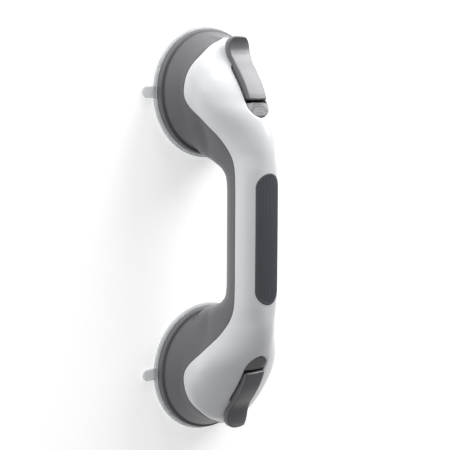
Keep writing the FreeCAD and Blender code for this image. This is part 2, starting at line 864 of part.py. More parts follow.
def make_return_spring(name, side):
    """Compression spring between the washer and the drum's roof, squeezed while the lever is closed."""
    bottom = size.boss_top + size.washer_thickness + size.spring_wire + 0.1
    height = size.drum_roof - size.spring_wire - 0.1 - bottom
    helix = doc.addObject("Part::Helix", name + "_spring_line")
    bind(helix, "Radius", size.spring_radius)
    bind(helix, "Height", height)
    bind(helix, "Pitch", height / size.spring_turns)
    wire = doc.addObject("Part::Circle", name + "_spring_section")
    bind(wire, "Radius", size.spring_wire)
    wire.Placement = FreeCAD.Placement(V(float(size.spring_radius), 0, 0), FreeCAD.Rotation(V(1, 0, 0), 90))
    wire.setExpression("Placement.Base.x", size.spring_radius.formula)
    spring = doc.addObject("Part::Sweep", name + "_return_spring")
    spring.Label = name + "_return_spring"
    spring.Sections = [wire]
    spring.Spine = (helix, [])
    spring.Solid = True
    spring.Frenet = True
    put_at_end(spring, side)
    spring.Placement.Base.z = float(bottom)
    spring.setExpression("Placement.Base.z", bottom.formula)
    return spring


def make_shell_screws(name, side):
    """Four screws from inside the bell up into the cover's posts."""
    screws = []
    for number, (x, y) in enumerate(POST_PLACES, start=1):
        screws.append(make_screw("%s_screw_%d" % (name, number), x, y, size.deck_low))
    group = doc.addObject("Part::Compound", name + "_shell_screws")
    group.Label = name + "_shell_screws"
    group.Links = screws
    put_at_end(group, side)
    return group


def cam_points():
    """Cam whose reach falls evenly from the closed to the open side: an involute about the pin."""
    closed_reach = float(size.pin_height - size.drum_top - size.plate_thickness - size.cam_gap)
    fall = float(size.stroke) / (math.pi / 2)
    steps = 6
    points = []
    for i in range(steps + 1):
        angle = math.pi / 2 * i / steps
        reach = closed_reach - fall * angle
        x = -reach * math.sin(angle) + fall * math.cos(angle)
        drop = -reach * math.cos(angle) - fall * math.sin(angle)
        points.append(V(x, 0, float(size.pin_height) + drop))
    return points


def spline_edge(points):
    curve = Part.BSplineCurve()
    curve.interpolate(points)
    return curve.toShape()


def lever_profile():
    """Side outline of the lever as one closed wire."""
    top = [V(x, 0, z) for x, z in LEVER_TOP]
    below = [V(x, 0, z) for x, z in LEVER_BELOW]
    cam = cam_points()
    heel, corner = (V(x, 0, z) for x, z in LEVER_HEEL)
    tip = V(LEVER_TIP[0], 0, LEVER_TIP[1])
    return Part.Wire([
        spline_edge(top),
        Part.Arc(top[-1], tip, below[0]).toShape(),
        spline_edge(below),
        Part.makeLine(below[-1], cam[0]),
        spline_edge(cam),
        Part.makeLine(cam[-1], heel),
        Part.Arc(heel, corner, top[0]).toShape(),
    ])


def lever_plan():
    """The lever seen from above, as a tall prism: straight sides that flare into a round finger tab."""
    half = float(size.lever_width) / 2
    half_tab = float(size.lever_tab_width) / 2
    heel = -LEVER_SWEEP
    tip = LEVER_TIP[0]
    centre = tip - half_tab
    middle = (LEVER_FLARE_START + LEVER_FLARE_END) / 2
    sides = []
    for way in (-1, 1):
        poles = [
            V(LEVER_FLARE_START, way * half, 0),
            V(middle, way * half, 0),
            V(middle, way * half_tab, 0),
            V(LEVER_FLARE_END, way * half_tab, 0),
        ]
        flare = Part.BezierCurve()
        flare.setPoles(poles)
        sides += [
            Part.makeLine(V(heel, way * half, 0), poles[0]),
            flare.toShape(),
            Part.makeLine(poles[-1], V(centre, way * half_tab, 0)),
        ]
    tab = Part.Arc(V(centre, -half_tab, 0), V(tip, 0, 0), V(centre, half_tab, 0)).toShape()
    back = Part.makeLine(V(heel, -half, 0), V(heel, half, 0))
    loop = Part.Wire(Part.__sortEdges__(sides + [tab, back]))
    return Part.Face(loop).extrude(V(0, 0, ABOVE_ALL))


def top_edges(blank):
    """Long edges of the lever's upper face."""
    facing_up = [face for face in blank.Faces if face.normalAt(0, 0).z > 0.4]
    upper = max(facing_up, key=lambda face: face.Area)
    return [edge for edge in upper.Edges if edge.BoundBox.XLength > 3]


def lever_solid():
    """Lever about its pin: flared plate, cam cheeks either side of the stem, hollow underneath."""
    width = float(size.lever_tab_width)
    pin_z = float(size.pin_height)
    blank = Part.Face(lever_profile()).extrude(V(0, width, 0))
    blank.translate(V(0, -width / 2, 0))
    blank = blank.common(lever_plan())
    blank = blank.makeChamfer(float(size.lever_edge), top_edges(blank))
    half_gap = float(size.cheek_gap) / 2
    eye_room = float(size.tongue_radius) + 0.3
    inboard = -CHEEK_SLOT_REACH
    low_corner = V(inboard, -half_gap, pin_z - CHEEK_SLOT_DEPTH)
    slot = Part.makeBox(CHEEK_SLOT_REACH + eye_room, 2 * half_gap, CHEEK_SLOT_DEPTH, low_corner)
    slot = slot.fuse(Part.makeBox(CHEEK_SLOT_REACH, 2 * half_gap, eye_room, V(inboard, -half_gap, pin_z)))
    eye = Part.makeCylinder(eye_room, 2 * half_gap, V(0, -half_gap, pin_z), V(0, 1, 0))
    pin_room = float(size.pin_radius + size.pin_play)
    pin_hole = Part.makeCylinder(pin_room, width, V(0, -width / 2, pin_z), V(0, 1, 0))
    half_cavity = float(size.lever_width / 2 - size.lever_wall)
    corners = [V(x, -half_cavity, z) for x, z in LEVER_CAVITY]
    cavity = Part.Face(Part.makePolygon(corners + corners[:1])).extrude(V(0, 2 * half_cavity, 0))
    return blank.cut([slot, eye, pin_hole, cavity])


def seat_channel():
    """Room that the lever sweeps, with the ramp that a thumb slides down at its inboard end."""
    half = float(size.slot_width) / 2 - 0.1
    width = 2 * half
    pin_z = float(size.pin_height)
    low_pin = pin_z - float(size.stroke)
    rooms = [Part.makeCylinder(LEVER_SWEEP, width, V(0, -half, z), V(0, 1, 0)) for z in (low_pin, pin_z)]
    rooms.append(Part.makeBox(LEVER_SWEEP, width, pin_z - low_pin, V(-LEVER_SWEEP, -half, low_pin)))
    rooms.append(Part.makeBox(40.0, width, 50.0, V(0, -half, 30.0)))
    lip = V(RAMP_LIP[0], -half, RAMP_LIP[1])
    middle = V(RAMP_MIDDLE[0], -half, RAMP_MIDDLE[1])
    foot = V(RAMP_FOOT[0], -half, RAMP_FOOT[1])
    inner = V(1, -half, foot.z)
    inner_top = V(1, -half, ABOVE_ALL)
    lip_top = V(lip.x, -half, ABOVE_ALL)
    edges = [
        Part.Arc(lip, middle, foot).toShape(),
        Part.makeLine(foot, inner),
        Part.makeLine(inner, inner_top),
        Part.makeLine(inner_top, lip_top),
        Part.makeLine(lip_top, lip),
    ]
    rooms.append(Part.Face(Part.Wire(edges)).extrude(V(0, width, 0)))
    return rooms


def plate_pocket():
    """Room for the wear plate in the underside of the seat."""
    play = 0.2
    length = float(size.plate_length) + 2 * play
    width = float(size.plate_width) + 2 * play
    height = float(size.plate_thickness) + play
    return Part.makeBox(length, width, height, V(-length / 2, -width / 2, float(size.drum_top)))


def seat_solid():
    """Lever seat about its bell's axis: ramp, side cheeks, and a foot on top of the spring drum."""
    half_width = float(size.seat_width) / 2
    half_slot = float(size.slot_width) / 2
    low = float(size.drum_top)
    left = V(-float(cup_offset), 0, 0)
    under_cover = handle_solid(wall + SEAT_PLAY)
    under_cover.translate(left)
    block = Part.makeBox(SEAT_LENGTH, 2 * half_width, ABOVE_ALL - low, V(SEAT_INBOARD, -half_width, low))
    flush = handle_solid(COLLAR_BELOW_SKIN)
    flush.translate(left)
    collar = flush.common(lever_opening(half_slot - COLLAR_PLAY, COLLAR_OUTBOARD, low, ABOVE_ALL))
    tray = under_cover.common(block)
    return tray.fuse(collar).cut(seat_channel() + [plate_pocket()])


def make_lever(name, side):
    piece = shape_piece(name + "_lever", lever_solid())
    put_at_end(piece, side)
    return piece


def make_lever_seat(name, side):
    piece = shape_piece(name + "_lever_seat", seat_solid())
    put_at_end(piece, side)
    return piece


END_PIECES = (
    make_suction_cup,
    make_stem,
    make_lever_pin,
    make_wear_plate,
    make_spring_washer,
    make_return_spring,
    make_shell_screws,
    make_lever,
    make_lever_seat,
)


def make_everything():
    pieces = [make_front_cover(), make_rear_shell(), make_palm_grip(), make_handle_screws()]
    for name, side in ENDS:
        pieces += [make(name, side) for make in END_PIECES]
    return pieces


def check(pieces):
    """Stops on any failed object and on any piece without a valid solid."""
    for item in doc.Objects:
        if "Invalid" in item.State or "Error" in item.State:
            raise RuntimeError("%s failed: %s" % (item.Label, item.State))
    for piece in pieces:
        shape = piece.Shape
        if shape.isNull() or not shape.isValid() or not shape.Solids or shape.Volume <= 0:
            raise RuntimeError(piece.Label + " has no valid solid")


def write(pieces):
    os.makedirs("parts", exist_ok=True)
    for piece in pieces:
        piece.Shape.exportStep(os.path.join("parts", piece.Label + ".step"))
        print("%-22s %d solid(s) %10.1f mm3" % (piece.Label, len(piece.Shape.Solids), piece.Shape.Volume))


all_pieces = make_everything()
doc.recompute()
check(all_pieces)
write(all_pieces)
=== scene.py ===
import json
import math

import bpy
import numpy as np
from mathutils import Matrix, Vector


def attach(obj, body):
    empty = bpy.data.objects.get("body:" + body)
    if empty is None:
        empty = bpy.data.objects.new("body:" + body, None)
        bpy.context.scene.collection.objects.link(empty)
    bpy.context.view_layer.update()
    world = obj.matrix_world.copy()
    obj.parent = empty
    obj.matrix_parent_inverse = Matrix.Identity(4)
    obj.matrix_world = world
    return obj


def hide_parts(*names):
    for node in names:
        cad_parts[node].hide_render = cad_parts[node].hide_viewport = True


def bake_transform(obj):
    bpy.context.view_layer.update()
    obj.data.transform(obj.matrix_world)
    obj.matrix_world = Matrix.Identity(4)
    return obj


# Suction grab bar. Shapes are worked out in millimetres in the row frame: X along the bar, Z away from the
# surface that the cups cling to. Both ends are the same, so most shapes are made about one bell's axis.

MM = 0.001
CUP_AXIS = 102.1
ENDS = (("upper", 1), ("lower", -1))

# Handle: distance from the middle, crown height, floor height, half-width.
STATIONS = np.array((
    (0.0, 72.3, 35.7, 16.5),
    (34.0, 72.2, 35.6, 16.5),
    (42.0, 72.1, 34.5, 16.6),
    (48.0, 72.0, 29.5, 17.0),
    (54.0, 71.8, 17.0, 18.0),
    (60.0, 71.5, 9.0, 19.5),
    (70.0, 70.0, 8.0, 23.5),
    (80.0, 67.0, 8.0, 29.0),
    (88.0, 63.5, 8.0, 33.0),
    (96.0, 58.5, 8.0, 35.5),
    (102.0, 55.0, 8.0, 36.0),
    (110.0, 49.5, 8.0, 35.0),
    (118.0, 43.0, 8.0, 32.0),
    (126.0, 36.0, 8.0, 26.0),
    (134.0, 31.5, 8.0, 16.0),
    (138.0, 29.5, 9.0, 7.0),
    (146.0, 22.0, 9.5, 3.0),
))
HANDLE_END = 139.5

# How square the handle's section is: distance from the middle, exponent (2 is an ellipse).
SECTION_POWERS = np.array((
    (0.0, 2.3),
    (48.0, 2.3),
    (62.0, 2.05),
    (76.0, 1.8),
    (100.0, 1.75),
    (125.0, 2.0),
    (150.0, 2.1),
))

# Bell above its rim: radius and height.
BELL_FOOT = 7.5
BELL_SIDE = np.array((
    (46.2, 2.5),
    (44.25, BELL_FOOT),
    (42.4, 12.4),
    (40.7, 16.8),
    (39.0, 21.0),
    (36.5, 28.0),
    (31.0, 33.0),
    (22.0, 38.0),
    (12.0, 41.5),
    (0.0, 43.0),
))
BLEND = 5.0

# Line between the white cover and the grey shell, seen from the side.
PARTING = np.array((
    (0.0, 54.3),
    (24.0, 54.3),
    (48.0, 54.0),
    (66.0, 47.5),
    (79.0, 38.0),
    (91.0, 27.5),
    (100.0, 23.5),
    (118.0, 25.5),
    (130.5, 28.0),
    (141.0, 25.5),
    (160.0, 25.0),
))

WALL = 2.8
SEAM_GAP = 0.12
SEAM_ROUND = 0.4
LIP_ROUND = 1.1
LIP_GROWTH = 2.2

# Opening for the lever, about a bell's axis.
SLOT_HALF = 9.6
SLOT_STRAIGHT = 9.0
SLOT_OUTBOARD = 18.5
SLOT_CORNER_POWER = 9.0
EDGE_HALF = SLOT_HALF + LIP_ROUND
EDGE_OUTBOARD = SLOT_OUTBOARD + LIP_ROUND

# Lever outline about the pin, heights above the wall.
LEVER_TOP = (
    (-4.3, 59.3),
    (0.0, 57.7),
    (8.0, 53.6),
    (16.0, 48.0),
    (21.5, 43.7),
    (26.0, 40.9),
    (30.0, 39.5),
    (34.0, 39.1),
    (36.6, 39.5),
    (38.6, 40.3),
)
LEVER_TIP = ((39.9, 39.6), (40.0, 36.6), (39.4, 34.8))
LEVER_BELOW = ((37.6, 34.0), (33.0, 34.4), (28.0, 35.5), (23.0, 38.1), (19.5, 41.2))
LEVER_HEEL = ((-5.75, 57.4), (-5.4, 58.7))
LEVER_CAVITY = ((6.8, 30.0), (6.8, 51.0), (10.0, 49.6), (16.5, 45.0), (17.5, 30.0))
LEVER_HALF = 8.75
LEVER_TAB_HALF = 9.9
LEVER_FLARE_START = 19.0
LEVER_FLARE_END = 28.0
LEVER_TIP_ROUND = 8.6
LEVER_HEEL_ROUND = 2.2
LEVER_EDGE = 0.7
LEVER_CROWN = 0.35
CHEEK_GAP = 7.8
PIN_HEIGHT = 51.0
CAM_REACH = 9.8
STROKE = 4.0
CAM_FALL = STROKE / (math.pi / 2)
EYE_ROOM = 4.5
PIN_ROOM = 2.05
CAVITY_HALF = 6.2

# Lever seat: its foot, how far it reaches into the wall of the opening, the room that the lever turns in.
SEAT_HALF = SLOT_HALF - 0.05
SEAT_FOOT = 41.2
SEAT_INTO_WALL = 0.5
SEAT_BELOW_SKIN = 0.5
ROOM_HALF = 9.1
ROOM_FLOOR = 34.0
LEVER_SWEEP = 9.9

# Ramp for the thumb, with its bowed ridges: a point on it, its rise, and the ridges' bow, depth and pitch.
RAMP_FOOT = (-8.2, 58.6)
RAMP_SLOPE = 0.44
RIDGE_BOW = 0.015
RIDGE_DEPTH = 0.2
RIDGE_PITCH = 1.05

# Rim of the bell from its step round to the inside: radius and height.
RIM_PROFILE = (
    (43.5, 8.35),
    (43.2, 8.05),
    (43.35, 7.75),
    (44.0, 7.65),
    (45.0, 7.55),
    (45.6, 7.3),
    (45.9, 6.8),
    (46.0, 6.1),
    (46.0, 3.1),
    (45.8, 2.65),
    (45.4, 2.5),
    (43.7, 2.5),
    (43.3, 2.8),
    (42.6, 5.0),
)

# Under the arch: distance from the middle and height of the line where the two sides meet.
ARCH = np.array((
    (34.0, 35.6),
    (40.0, 35.0),
    (45.0, 32.0),
    (50.0, 26.5),
    (54.0, 17.5),
    (57.2, 12.8),
    (58.2, 9.4),
))
ARCH_START = 34.0
ARCH_END = 63.3

# Palm pad: half-length, half-width, and how far it stands out; pitch and depth of its ribs.
PAD_HALF = 46.5
PAD_WIDTH = 10.5
PAD_PROUD = 0.45
PAD_RIM = 0.9
PAD_MARGIN = 1.4
PAD_BELOW_SKIN = 1.2
PAD_EDGE_BELOW_SKIN = 0.5
RIB_PITCH = 1.25
RIB_DEPTH = 0.32

# Suction cup: the dish's and the boss's height on the axis, and its pull tab in plan.
DISH_TOP = 6.5
STUD_FOOT = 9.35
TAB_HALF = 4.25
TAB_MIDDLE = 49.0
TAB_REACH = 8.8
TAB_ROUND = 4.2
TAB_TOP = 2.1
TAB_ROOT = 46.2

# Middle of the return spring's wire at its two ends.
SPRING_LOW = 15.0
SPRING_HIGH = 35.7

# Stiffening ribs under the bell's deck.
DECK_RIBS = 8
DECK_RIB_HALF = 0.8
DECK_RIB_MIDDLE, DECK_RIB_REACH = 25.5, 11.5
DECK_RIB_HEIGHT, DECK_RIB_RISE = 17.2, 2.7

# Stipple on the finger tab: rings of one dome as radius and height, and the pitch along and across.
DOT_RINGS = ((0.42, 0.0), (0.34, 0.16), (0.17, 0.25))
DOT_SIDES = 8
DOT_SINK = 0.03
DOT_ROWS = np.arange(27.5, 37.0, 1.5)
DOT_PLACES = np.arange(-5.4, 5.5, 1.8)


def monotone(places, values, at):
    """Smooth curve through stations that never overshoots between them."""
    steps = np.diff(places)
    slopes = np.diff(values) / steps
    before, after = slopes[:-1], slopes[1:]
    weight_a = 2 * steps[1:] + steps[:-1]
    weight_b = steps[1:] + 2 * steps[:-1]
    same_way = before * after > 0
    safe_before = np.where(same_way, before, 1.0)
    safe_after = np.where(same_way, after, 1.0)
    mean = (weight_a + weight_b) / (weight_a / safe_before + weight_b / safe_after)
    tangents = np.concatenate(([slopes[0]], np.where(same_way, mean, 0.0), [slopes[-1]]))
    at = np.clip(at, places[0], places[-1])
    i = np.clip(np.searchsorted(places, at, side="right") - 1, 0, len(steps) - 1)
    t = (at - places[i]) / steps[i]
    here = (1 + 2 * t) * (1 - t) ** 2 * values[i] + t * (1 - t) ** 2 * steps[i] * tangents[i]
    there = t * t * (3 - 2 * t) * values[i + 1] + t * t * (t - 1) * steps[i] * tangents[i + 1]
    return here + there


def blend_low(a, b, reach):
    """Lower of two values, rounded off where they are close: a smooth union."""
    near = np.maximum(reach - np.abs(a - b), 0) / reach
    return np.minimum(a, b) - near * near * reach / 4


def blend_high(a, b, reach):
    """Higher of two values, rounded off where they are close: a smooth overlap."""
    return -blend_low(-a, -b, reach)


def handle_value(p):
    """Below zero inside the handle."""
    along = np.abs(p[..., 0])
    crown, floor, half = (monotone(STATIONS[:, 0], STATIONS[:, column], along) for column in (1, 2, 3))
    middle = (crown + floor) / 2
    height = (crown - floor) / 2
    across = np.abs(p[..., 1]) / half
    above = np.abs(p[..., 2] - middle) / height
    power = monotone(SECTION_POWERS[:, 0], SECTION_POWERS[:, 1], along)
    ring = (across ** power + above ** power) ** (1 / power)
    return np.maximum((ring - 1) * np.minimum(half, height), along - HANDLE_END)


BELL_ANGLES = np.arctan2(BELL_SIDE[:, 1] - BELL_FOOT, BELL_SIDE[:, 0])
BELL_REACH = np.hypot(BELL_SIDE[:, 1] - BELL_FOOT, BELL_SIDE[:, 0])


def bell_value(p):
    """Below zero inside the bell nearer to the place."""
    radius = np.hypot(np.abs(p[..., 0]) - CUP_AXIS, p[..., 1])
    height = p[..., 2] - BELL_FOOT
    return np.hypot(radius, height) - monotone(BELL_ANGLES, BELL_REACH, np.arctan2(height, radius))


def body_value(p):
    """Below zero inside the whole shell: handle and bells run into each other, most softly under the arch."""
    height = p[..., 2]
    arch = ease((height - BELL_FOOT) / 7) * ease((32 - height) / 12) * ease((90 - np.abs(p[..., 0])) / 14)
    return blend_low(handle_value(p), bell_value(p), BLEND + 10 * arch)


RIM_STEP = 0.027
FOOT_REACH = float(monotone(BELL_ANGLES, BELL_REACH, np.array(RIM_STEP)))
FOOT_RADIUS = FOOT_REACH * math.cos(RIM_STEP)
FOOT_HEIGHT = BELL_FOOT + FOOT_REACH * math.sin(RIM_STEP)


def above_foot_value(p):
    """Below zero inside the part of the shell that stands above the bells' rims."""
    return np.maximum(body_value(p), FOOT_HEIGHT - p[..., 2])


def ease(share):
    """Soft step from 0 to 1."""
    share = np.clip(share, 0, 1)
    return share * share * (3 - 2 * share)


def gradient(field, p, step=0.05):
    """Steepest way up a field at each place."""
    parts = []
    for axis in range(3):
        shift = np.zeros(3)
        shift[axis] = step
        parts.append((field(p + shift) - field(p - shift)) / (2 * step))
    return np.stack(parts, -1)


def unit(vectors):
    """Vectors brought to length one."""
    return vectors / np.maximum(np.linalg.norm(vectors, axis=-1, keepdims=True), 1e-12)


def cast(origins, directions, furthest=75.0, field=body_value):
    """Where rays from inside the shell first come out of it."""
    steps = np.linspace(0, furthest, 101)
    low = np.zeros(origins.shape[:-1])
    found = np.zeros(origins.shape[:-1], bool)
    for near, far in zip(steps[:-1], steps[1:]):
        outside = field(origins + directions * far) > 0
        low = np.where(outside & ~found, near, low)
        found |= outside
    high = low + steps[1]
    for _ in range(26):
        middle = (low + high) / 2
        outside = field(origins + directions * middle[..., None]) > 0
        high = np.where(outside, middle, high)
        low = np.where(outside, low, middle)
    return origins + directions * ((low + high) / 2)[..., None]


def parting_height(x):
    """Height of the parting line, its corners eased over a few millimetres."""
    spread = np.linspace(-5, 5, 11)
    weights = 1 - (spread / 6) ** 2
    heights = monotone(PARTING[:, 0], PARTING[:, 1], np.abs(np.asarray(x)[..., None] + spread))
    return (heights * weights).sum(-1) / weights.sum()


def stations():
    """Plan of a quarter of the body: where each section stands, and the way it faces, as angle and vector."""
    quarter = math.pi / 2
    turn = np.radians(np.arange(0, 90, 6.0))
    along = np.concatenate([
        np.arange(0, 44, 1.6),
        np.arange(44, 60, 0.7),
        np.arange(60, 83, 1.1),
        CUP_AXIS - SLOT_STRAIGHT - EDGE_HALF * np.cos(turn),
        np.arange(CUP_AXIS - SLOT_STRAIGHT, CUP_AXIS, 1.0),
    ])
    fan = np.concatenate([
        np.linspace(quarter, math.radians(38), 30),
        np.linspace(math.radians(38), math.radians(18), 22)[1:],
        np.linspace(math.radians(18), 0, 14)[1:],
    ])
    places = np.concatenate([along, np.full(len(fan), CUP_AXIS)])
    facing = np.concatenate([np.full(len(along), quarter), fan])
    plan = np.stack([np.cos(facing), np.sin(facing), np.zeros(len(facing))], -1)
    plan[np.abs(plan) < 1e-12] = 0.0
    return places, facing, plan


def parting_points(places, plan):
    """Points of the seam, and the points on the middle plane that the sections fan out from."""
    origins = np.stack([places, np.zeros(len(places)), parting_height(places)], -1)
    for _ in range(10):
        seam = cast(origins, plan)
        origins[:, 2] = parting_height(seam[:, 0])
    return cast(origins, plan), origins


def slot_edge(places, facing):
    """Plan of the opening's edge at each section, and the way from there into the opening."""
    apex = CUP_AXIS - SLOT_STRAIGHT - EDGE_HALF
    edge = np.zeros((len(places), 2))
    inward = np.zeros((len(places), 3))
    for k, (place, angle) in enumerate(zip(places, facing)):
        if place < apex - 1e-6:
            edge[k] = (place, 0.0)
        elif place < CUP_AXIS:
            back = min(place - (CUP_AXIS - SLOT_STRAIGHT), 0.0)
            across = math.sqrt(max(EDGE_HALF ** 2 - back ** 2, 0.0))
            edge[k] = (place, across)
            inward[k] = (-back / EDGE_HALF, -across / EDGE_HALF, 0)
        else:
            power = SLOT_CORNER_POWER
            x, y = math.cos(angle), math.sin(angle)
            x = 0.0 if abs(x) < 1e-12 else x
            reach = ((x / EDGE_OUTBOARD) ** power + (y / EDGE_HALF) ** power) ** (-1 / power)
            x, y = x * reach, y * reach
            edge[k] = (CUP_AXIS + x, y)
            slope_x = x ** (power - 1) / EDGE_OUTBOARD ** power
            slope_y = y ** (power - 1) / EDGE_HALF ** power
            slope = np.array((slope_x, slope_y, 0))
            inward[k] = -slope / np.linalg.norm(slope)
    return edge, inward, places >= apex - 1e-6


def rounded_edge(edge, normal, outward, radius, steps=4):
    """Rows that turn a surface over its edge, from its face to a wall that goes straight in."""
    radius = np.broadcast_to(radius, edge.shape[:1])[:, None]
    rows = []
    for i in range(steps + 1):
        angle = math.pi / 2 * i / steps
        rows.append(edge + outward * radius * math.sin(angle) - normal * radius * (1 - math.cos(angle)))
    return rows


def flat_way(way, normal):
    """A direction laid into the surface."""
    return unit(way - normal * (way * normal).sum(-1, keepdims=True))


def cover_sections(places, facing, plan):
    """Closed sections through the wall of the white cover: seam, outer face, lip, inner face."""
    rows = 38
    seam, origins = parting_points(places, plan)
    edge, inward, open_here = slot_edge(places, facing)
    lift = np.stack([edge[:, 0], edge[:, 1], origins[:, 2]], -1)
    upright = np.broadcast_to(np.array((0.0, 0.0, 1.0)), lift.shape)
    top = cast(lift, upright)
    reach = np.hypot(top[:, 0] - origins[:, 0], top[:, 1])
    last = np.arctan2(top[:, 2] - origins[:, 2], reach)
    last[~open_here] = math.pi / 2
    angle = last[:, None] * np.linspace(0, 1, rows)[None, :]
    to_side = np.where(angle > math.pi / 2 - 1e-9, 0.0, np.cos(angle))
    direction = plan[:, None, :] * to_side[..., None]
    direction[..., 2] = np.sin(angle)
    points = cast(np.broadcast_to(origins[:, None, :], direction.shape), direction)
    points[:, 0] = seam
    points[open_here, -1] = top[open_here]
    normal = unit(gradient(body_value, points))
    down = flat_way(points[:, 0] - points[:, 1], normal[:, 0])
    seam_rows = seam_edge(points, normal, down)
    way = np.where(open_here[:, None], flat_way(inward, normal[:, -1]), 0.0)
    lip = LIP_ROUND + LIP_GROWTH * np.maximum(inward[:, 0], 0) ** 2
    lip_rows = rounded_edge(points[:, -1], normal[:, -1], way, lip, 7)
    outer = [points[:, i] for i in range(2, rows - 1)]
    inner = [points[:, i] - WALL * normal[:, i] for i in range(1, rows - 1)]
    inner_lip = points[:, -1] + way * lip[:, None] - np.maximum(WALL, lip + 0.5)[:, None] * normal[:, -1]
    inner_seam = points[:, 0] - WALL * normal[:, 0] - down * SEAM_GAP
    loop = seam_rows[::-1] + outer + lip_rows + [inner_lip] + inner[::-1] + [inner_seam]
    first_skipped = len(seam_rows) + len(outer)
    skipped = range(first_skipped, first_skipped + len(lip_rows))
    return np.stack(loop, 1), skipped, open_here


def seam_edge(points, normal, down):
    """Rounded edge along the seam, a hair back from it."""
    foot = points[:, 0] - down * (SEAM_GAP + SEAM_ROUND)
    return rounded_edge(foot, normal[:, 0], down, SEAM_ROUND)


def rear_sections(places, facing, plan):
    """Closed sections through the wall of the grey shell: seam, outer face, rim of the bell, inner face."""
    rows = 46
    seam, origins = parting_points(places, plan)
    run = np.concatenate(([0], np.cumsum(np.hypot(*np.diff(ARCH, axis=0).T))))
    target = np.zeros((len(places), 3))
    ring = np.zeros((len(places), 3))
    at_ring = places > ARCH_END - 1e-6
    for k, (place, angle) in enumerate(zip(places, facing)):
        if place < ARCH_START:
            target[k] = (place, 0, 0)
        elif not at_ring[k]:
            share = run[-1] * (place - ARCH_START) / (ARCH_END - ARCH_START)
            target[k] = (np.interp(share, run, ARCH[:, 0]), 0, np.interp(share, run, ARCH[:, 1]))
        else:
            if place < CUP_AXIS:
                turn = math.pi - math.pi / 2 * (place - ARCH_END) / (CUP_AXIS - ARCH_END)
            else:
                turn = angle
            ring[k] = (math.cos(turn), math.sin(turn), 0)
            target[k] = (CUP_AXIS + FOOT_RADIUS * ring[k, 0], FOOT_RADIUS * ring[k, 1], FOOT_HEIGHT)
    target[np.abs(target) < 1e-9] = 0.0
    offset = target - origins
    sideways = (offset * plan).sum(-1)
    fall = unit(offset - plan * sideways[:, None])
    last = np.arctan2(np.linalg.norm(offset - plan * sideways[:, None], axis=-1), sideways)
    last[~at_ring] = math.pi / 2
    share = np.linspace(0, 1, rows)[None, :, None]
    angle = last[:, None, None] * share
    to_side = np.where(angle > math.pi / 2 - 1e-9, 0.0, np.cos(angle))
    direction = plan[:, None, :] * to_side + fall[:, None, :] * np.sin(angle)
    points = cast(np.broadcast_to(origins[:, None, :], direction.shape), direction, field=above_foot_value)
    points[:, 0] = seam
    points[at_ring, -1] = target[at_ring]
    normal = unit(gradient(body_value, points))
    normal[at_ring, -1] = unit(ring[at_ring] + np.array((0, 0, 0.385)))
    down = flat_way(points[:, 0] - points[:, 1], normal[:, 0])
    seam_rows = seam_edge(points, normal, down)
    rim = []
    for radius, height in RIM_PROFILE:
        row = points[:, -1].copy()
        row[at_ring] = np.array((CUP_AXIS, 0, height)) + radius * ring[at_ring]
        row[np.abs(row) < 1e-9] = 0.0
        rim.append(row)
    outer = [points[:, i] for i in range(2, rows)]
    inner = [points[:, i] - WALL * normal[:, i] for i in range(1, rows)]
    inner_seam = points[:, 0] - WALL * normal[:, 0] - down * SEAM_GAP
    loop = seam_rows[::-1] + outer + rim + inner[::-1] + [inner_seam]
    first_skipped = len(seam_rows) + len(outer) - 1
    skipped = range(first_skipped, first_skipped + len(rim) + 1)
    return np.stack(loop, 1), skipped, at_ring


def mesh_object(name, vertices, faces):
    """Smooth-shaded Blender object from millimetres."""
    mesh = bpy.data.meshes.new(name)
    mesh.from_pydata((np.asarray(vertices) * MM).tolist(), [], faces)
    mesh.validate()
    mesh.polygons.foreach_set("use_smooth", [True] * len(mesh.polygons))
    thing = bpy.data.objects.new(name, mesh)
    bpy.context.scene.collection.objects.link(thing)
    return thing


def weld(vertices, faces, reach=0.004):
    """Joins vertices that fall together and drops faces that collapse."""
    keys = np.round(np.asarray(vertices) / reach).astype(np.int64)
    _, first, where = np.unique(keys, axis=0, return_index=True, return_inverse=True)
    where = where.reshape(-1)
    kept = []
    for face in faces:
        corners = []
        for corner in (int(where[i]) for i in face):
            if corner not in corners:
                corners.append(corner)
        if len(corners) > 2:
            kept.append(corners)
    return np.asarray(vertices)[first], kept


def four_quarters(name, sections, skipped, open_here):
    """Mesh of a quarter of the body, mirrored across both middle planes and welded."""
    count, size = sections.shape[:2]
    quarter = []
    for k in range(count - 1):
        for m in range(size):
            if m in skipped and not open_here[k]:
                continue
            n = (m + 1) % size
            quarter.append((k * size + m, (k + 1) * size + m, (k + 1) * size + n, k * size + n))
    flat = sections.reshape(-1, 3)
    vertices, faces = [], []
    for side_x in (1, -1):
        for side_y in (1, -1):
            start = len(vertices) * len(flat)
            vertices.append(flat * (side_x, side_y, 1))
            turned = side_x * side_y < 0
            faces += [tuple(start + i for i in (face[::-1] if turned else face)) for face in quarter]
    return mesh_object(name, *weld(np.concatenate(vertices), faces))


def round_corners(corners, radius, steps=4):
    """Closed outline with its corners cut to short curves."""
    spots = np.asarray(corners, float)
    out = []
    for i, spot in enumerate(spots):
        before, after = spots[i - 1] - spot, spots[(i + 1) % len(spots)] - spot
        back = min(radius, 0.45 * np.linalg.norm(before))
        forth = min(radius, 0.45 * np.linalg.norm(after))
        start = spot + before / np.linalg.norm(before) * back
        end = spot + after / np.linalg.norm(after) * forth
        for t in np.linspace(0, 1, steps + 1):
            out.append((1 - t) ** 2 * start + 2 * t * (1 - t) * spot + t * t * end)
    return np.array(out)


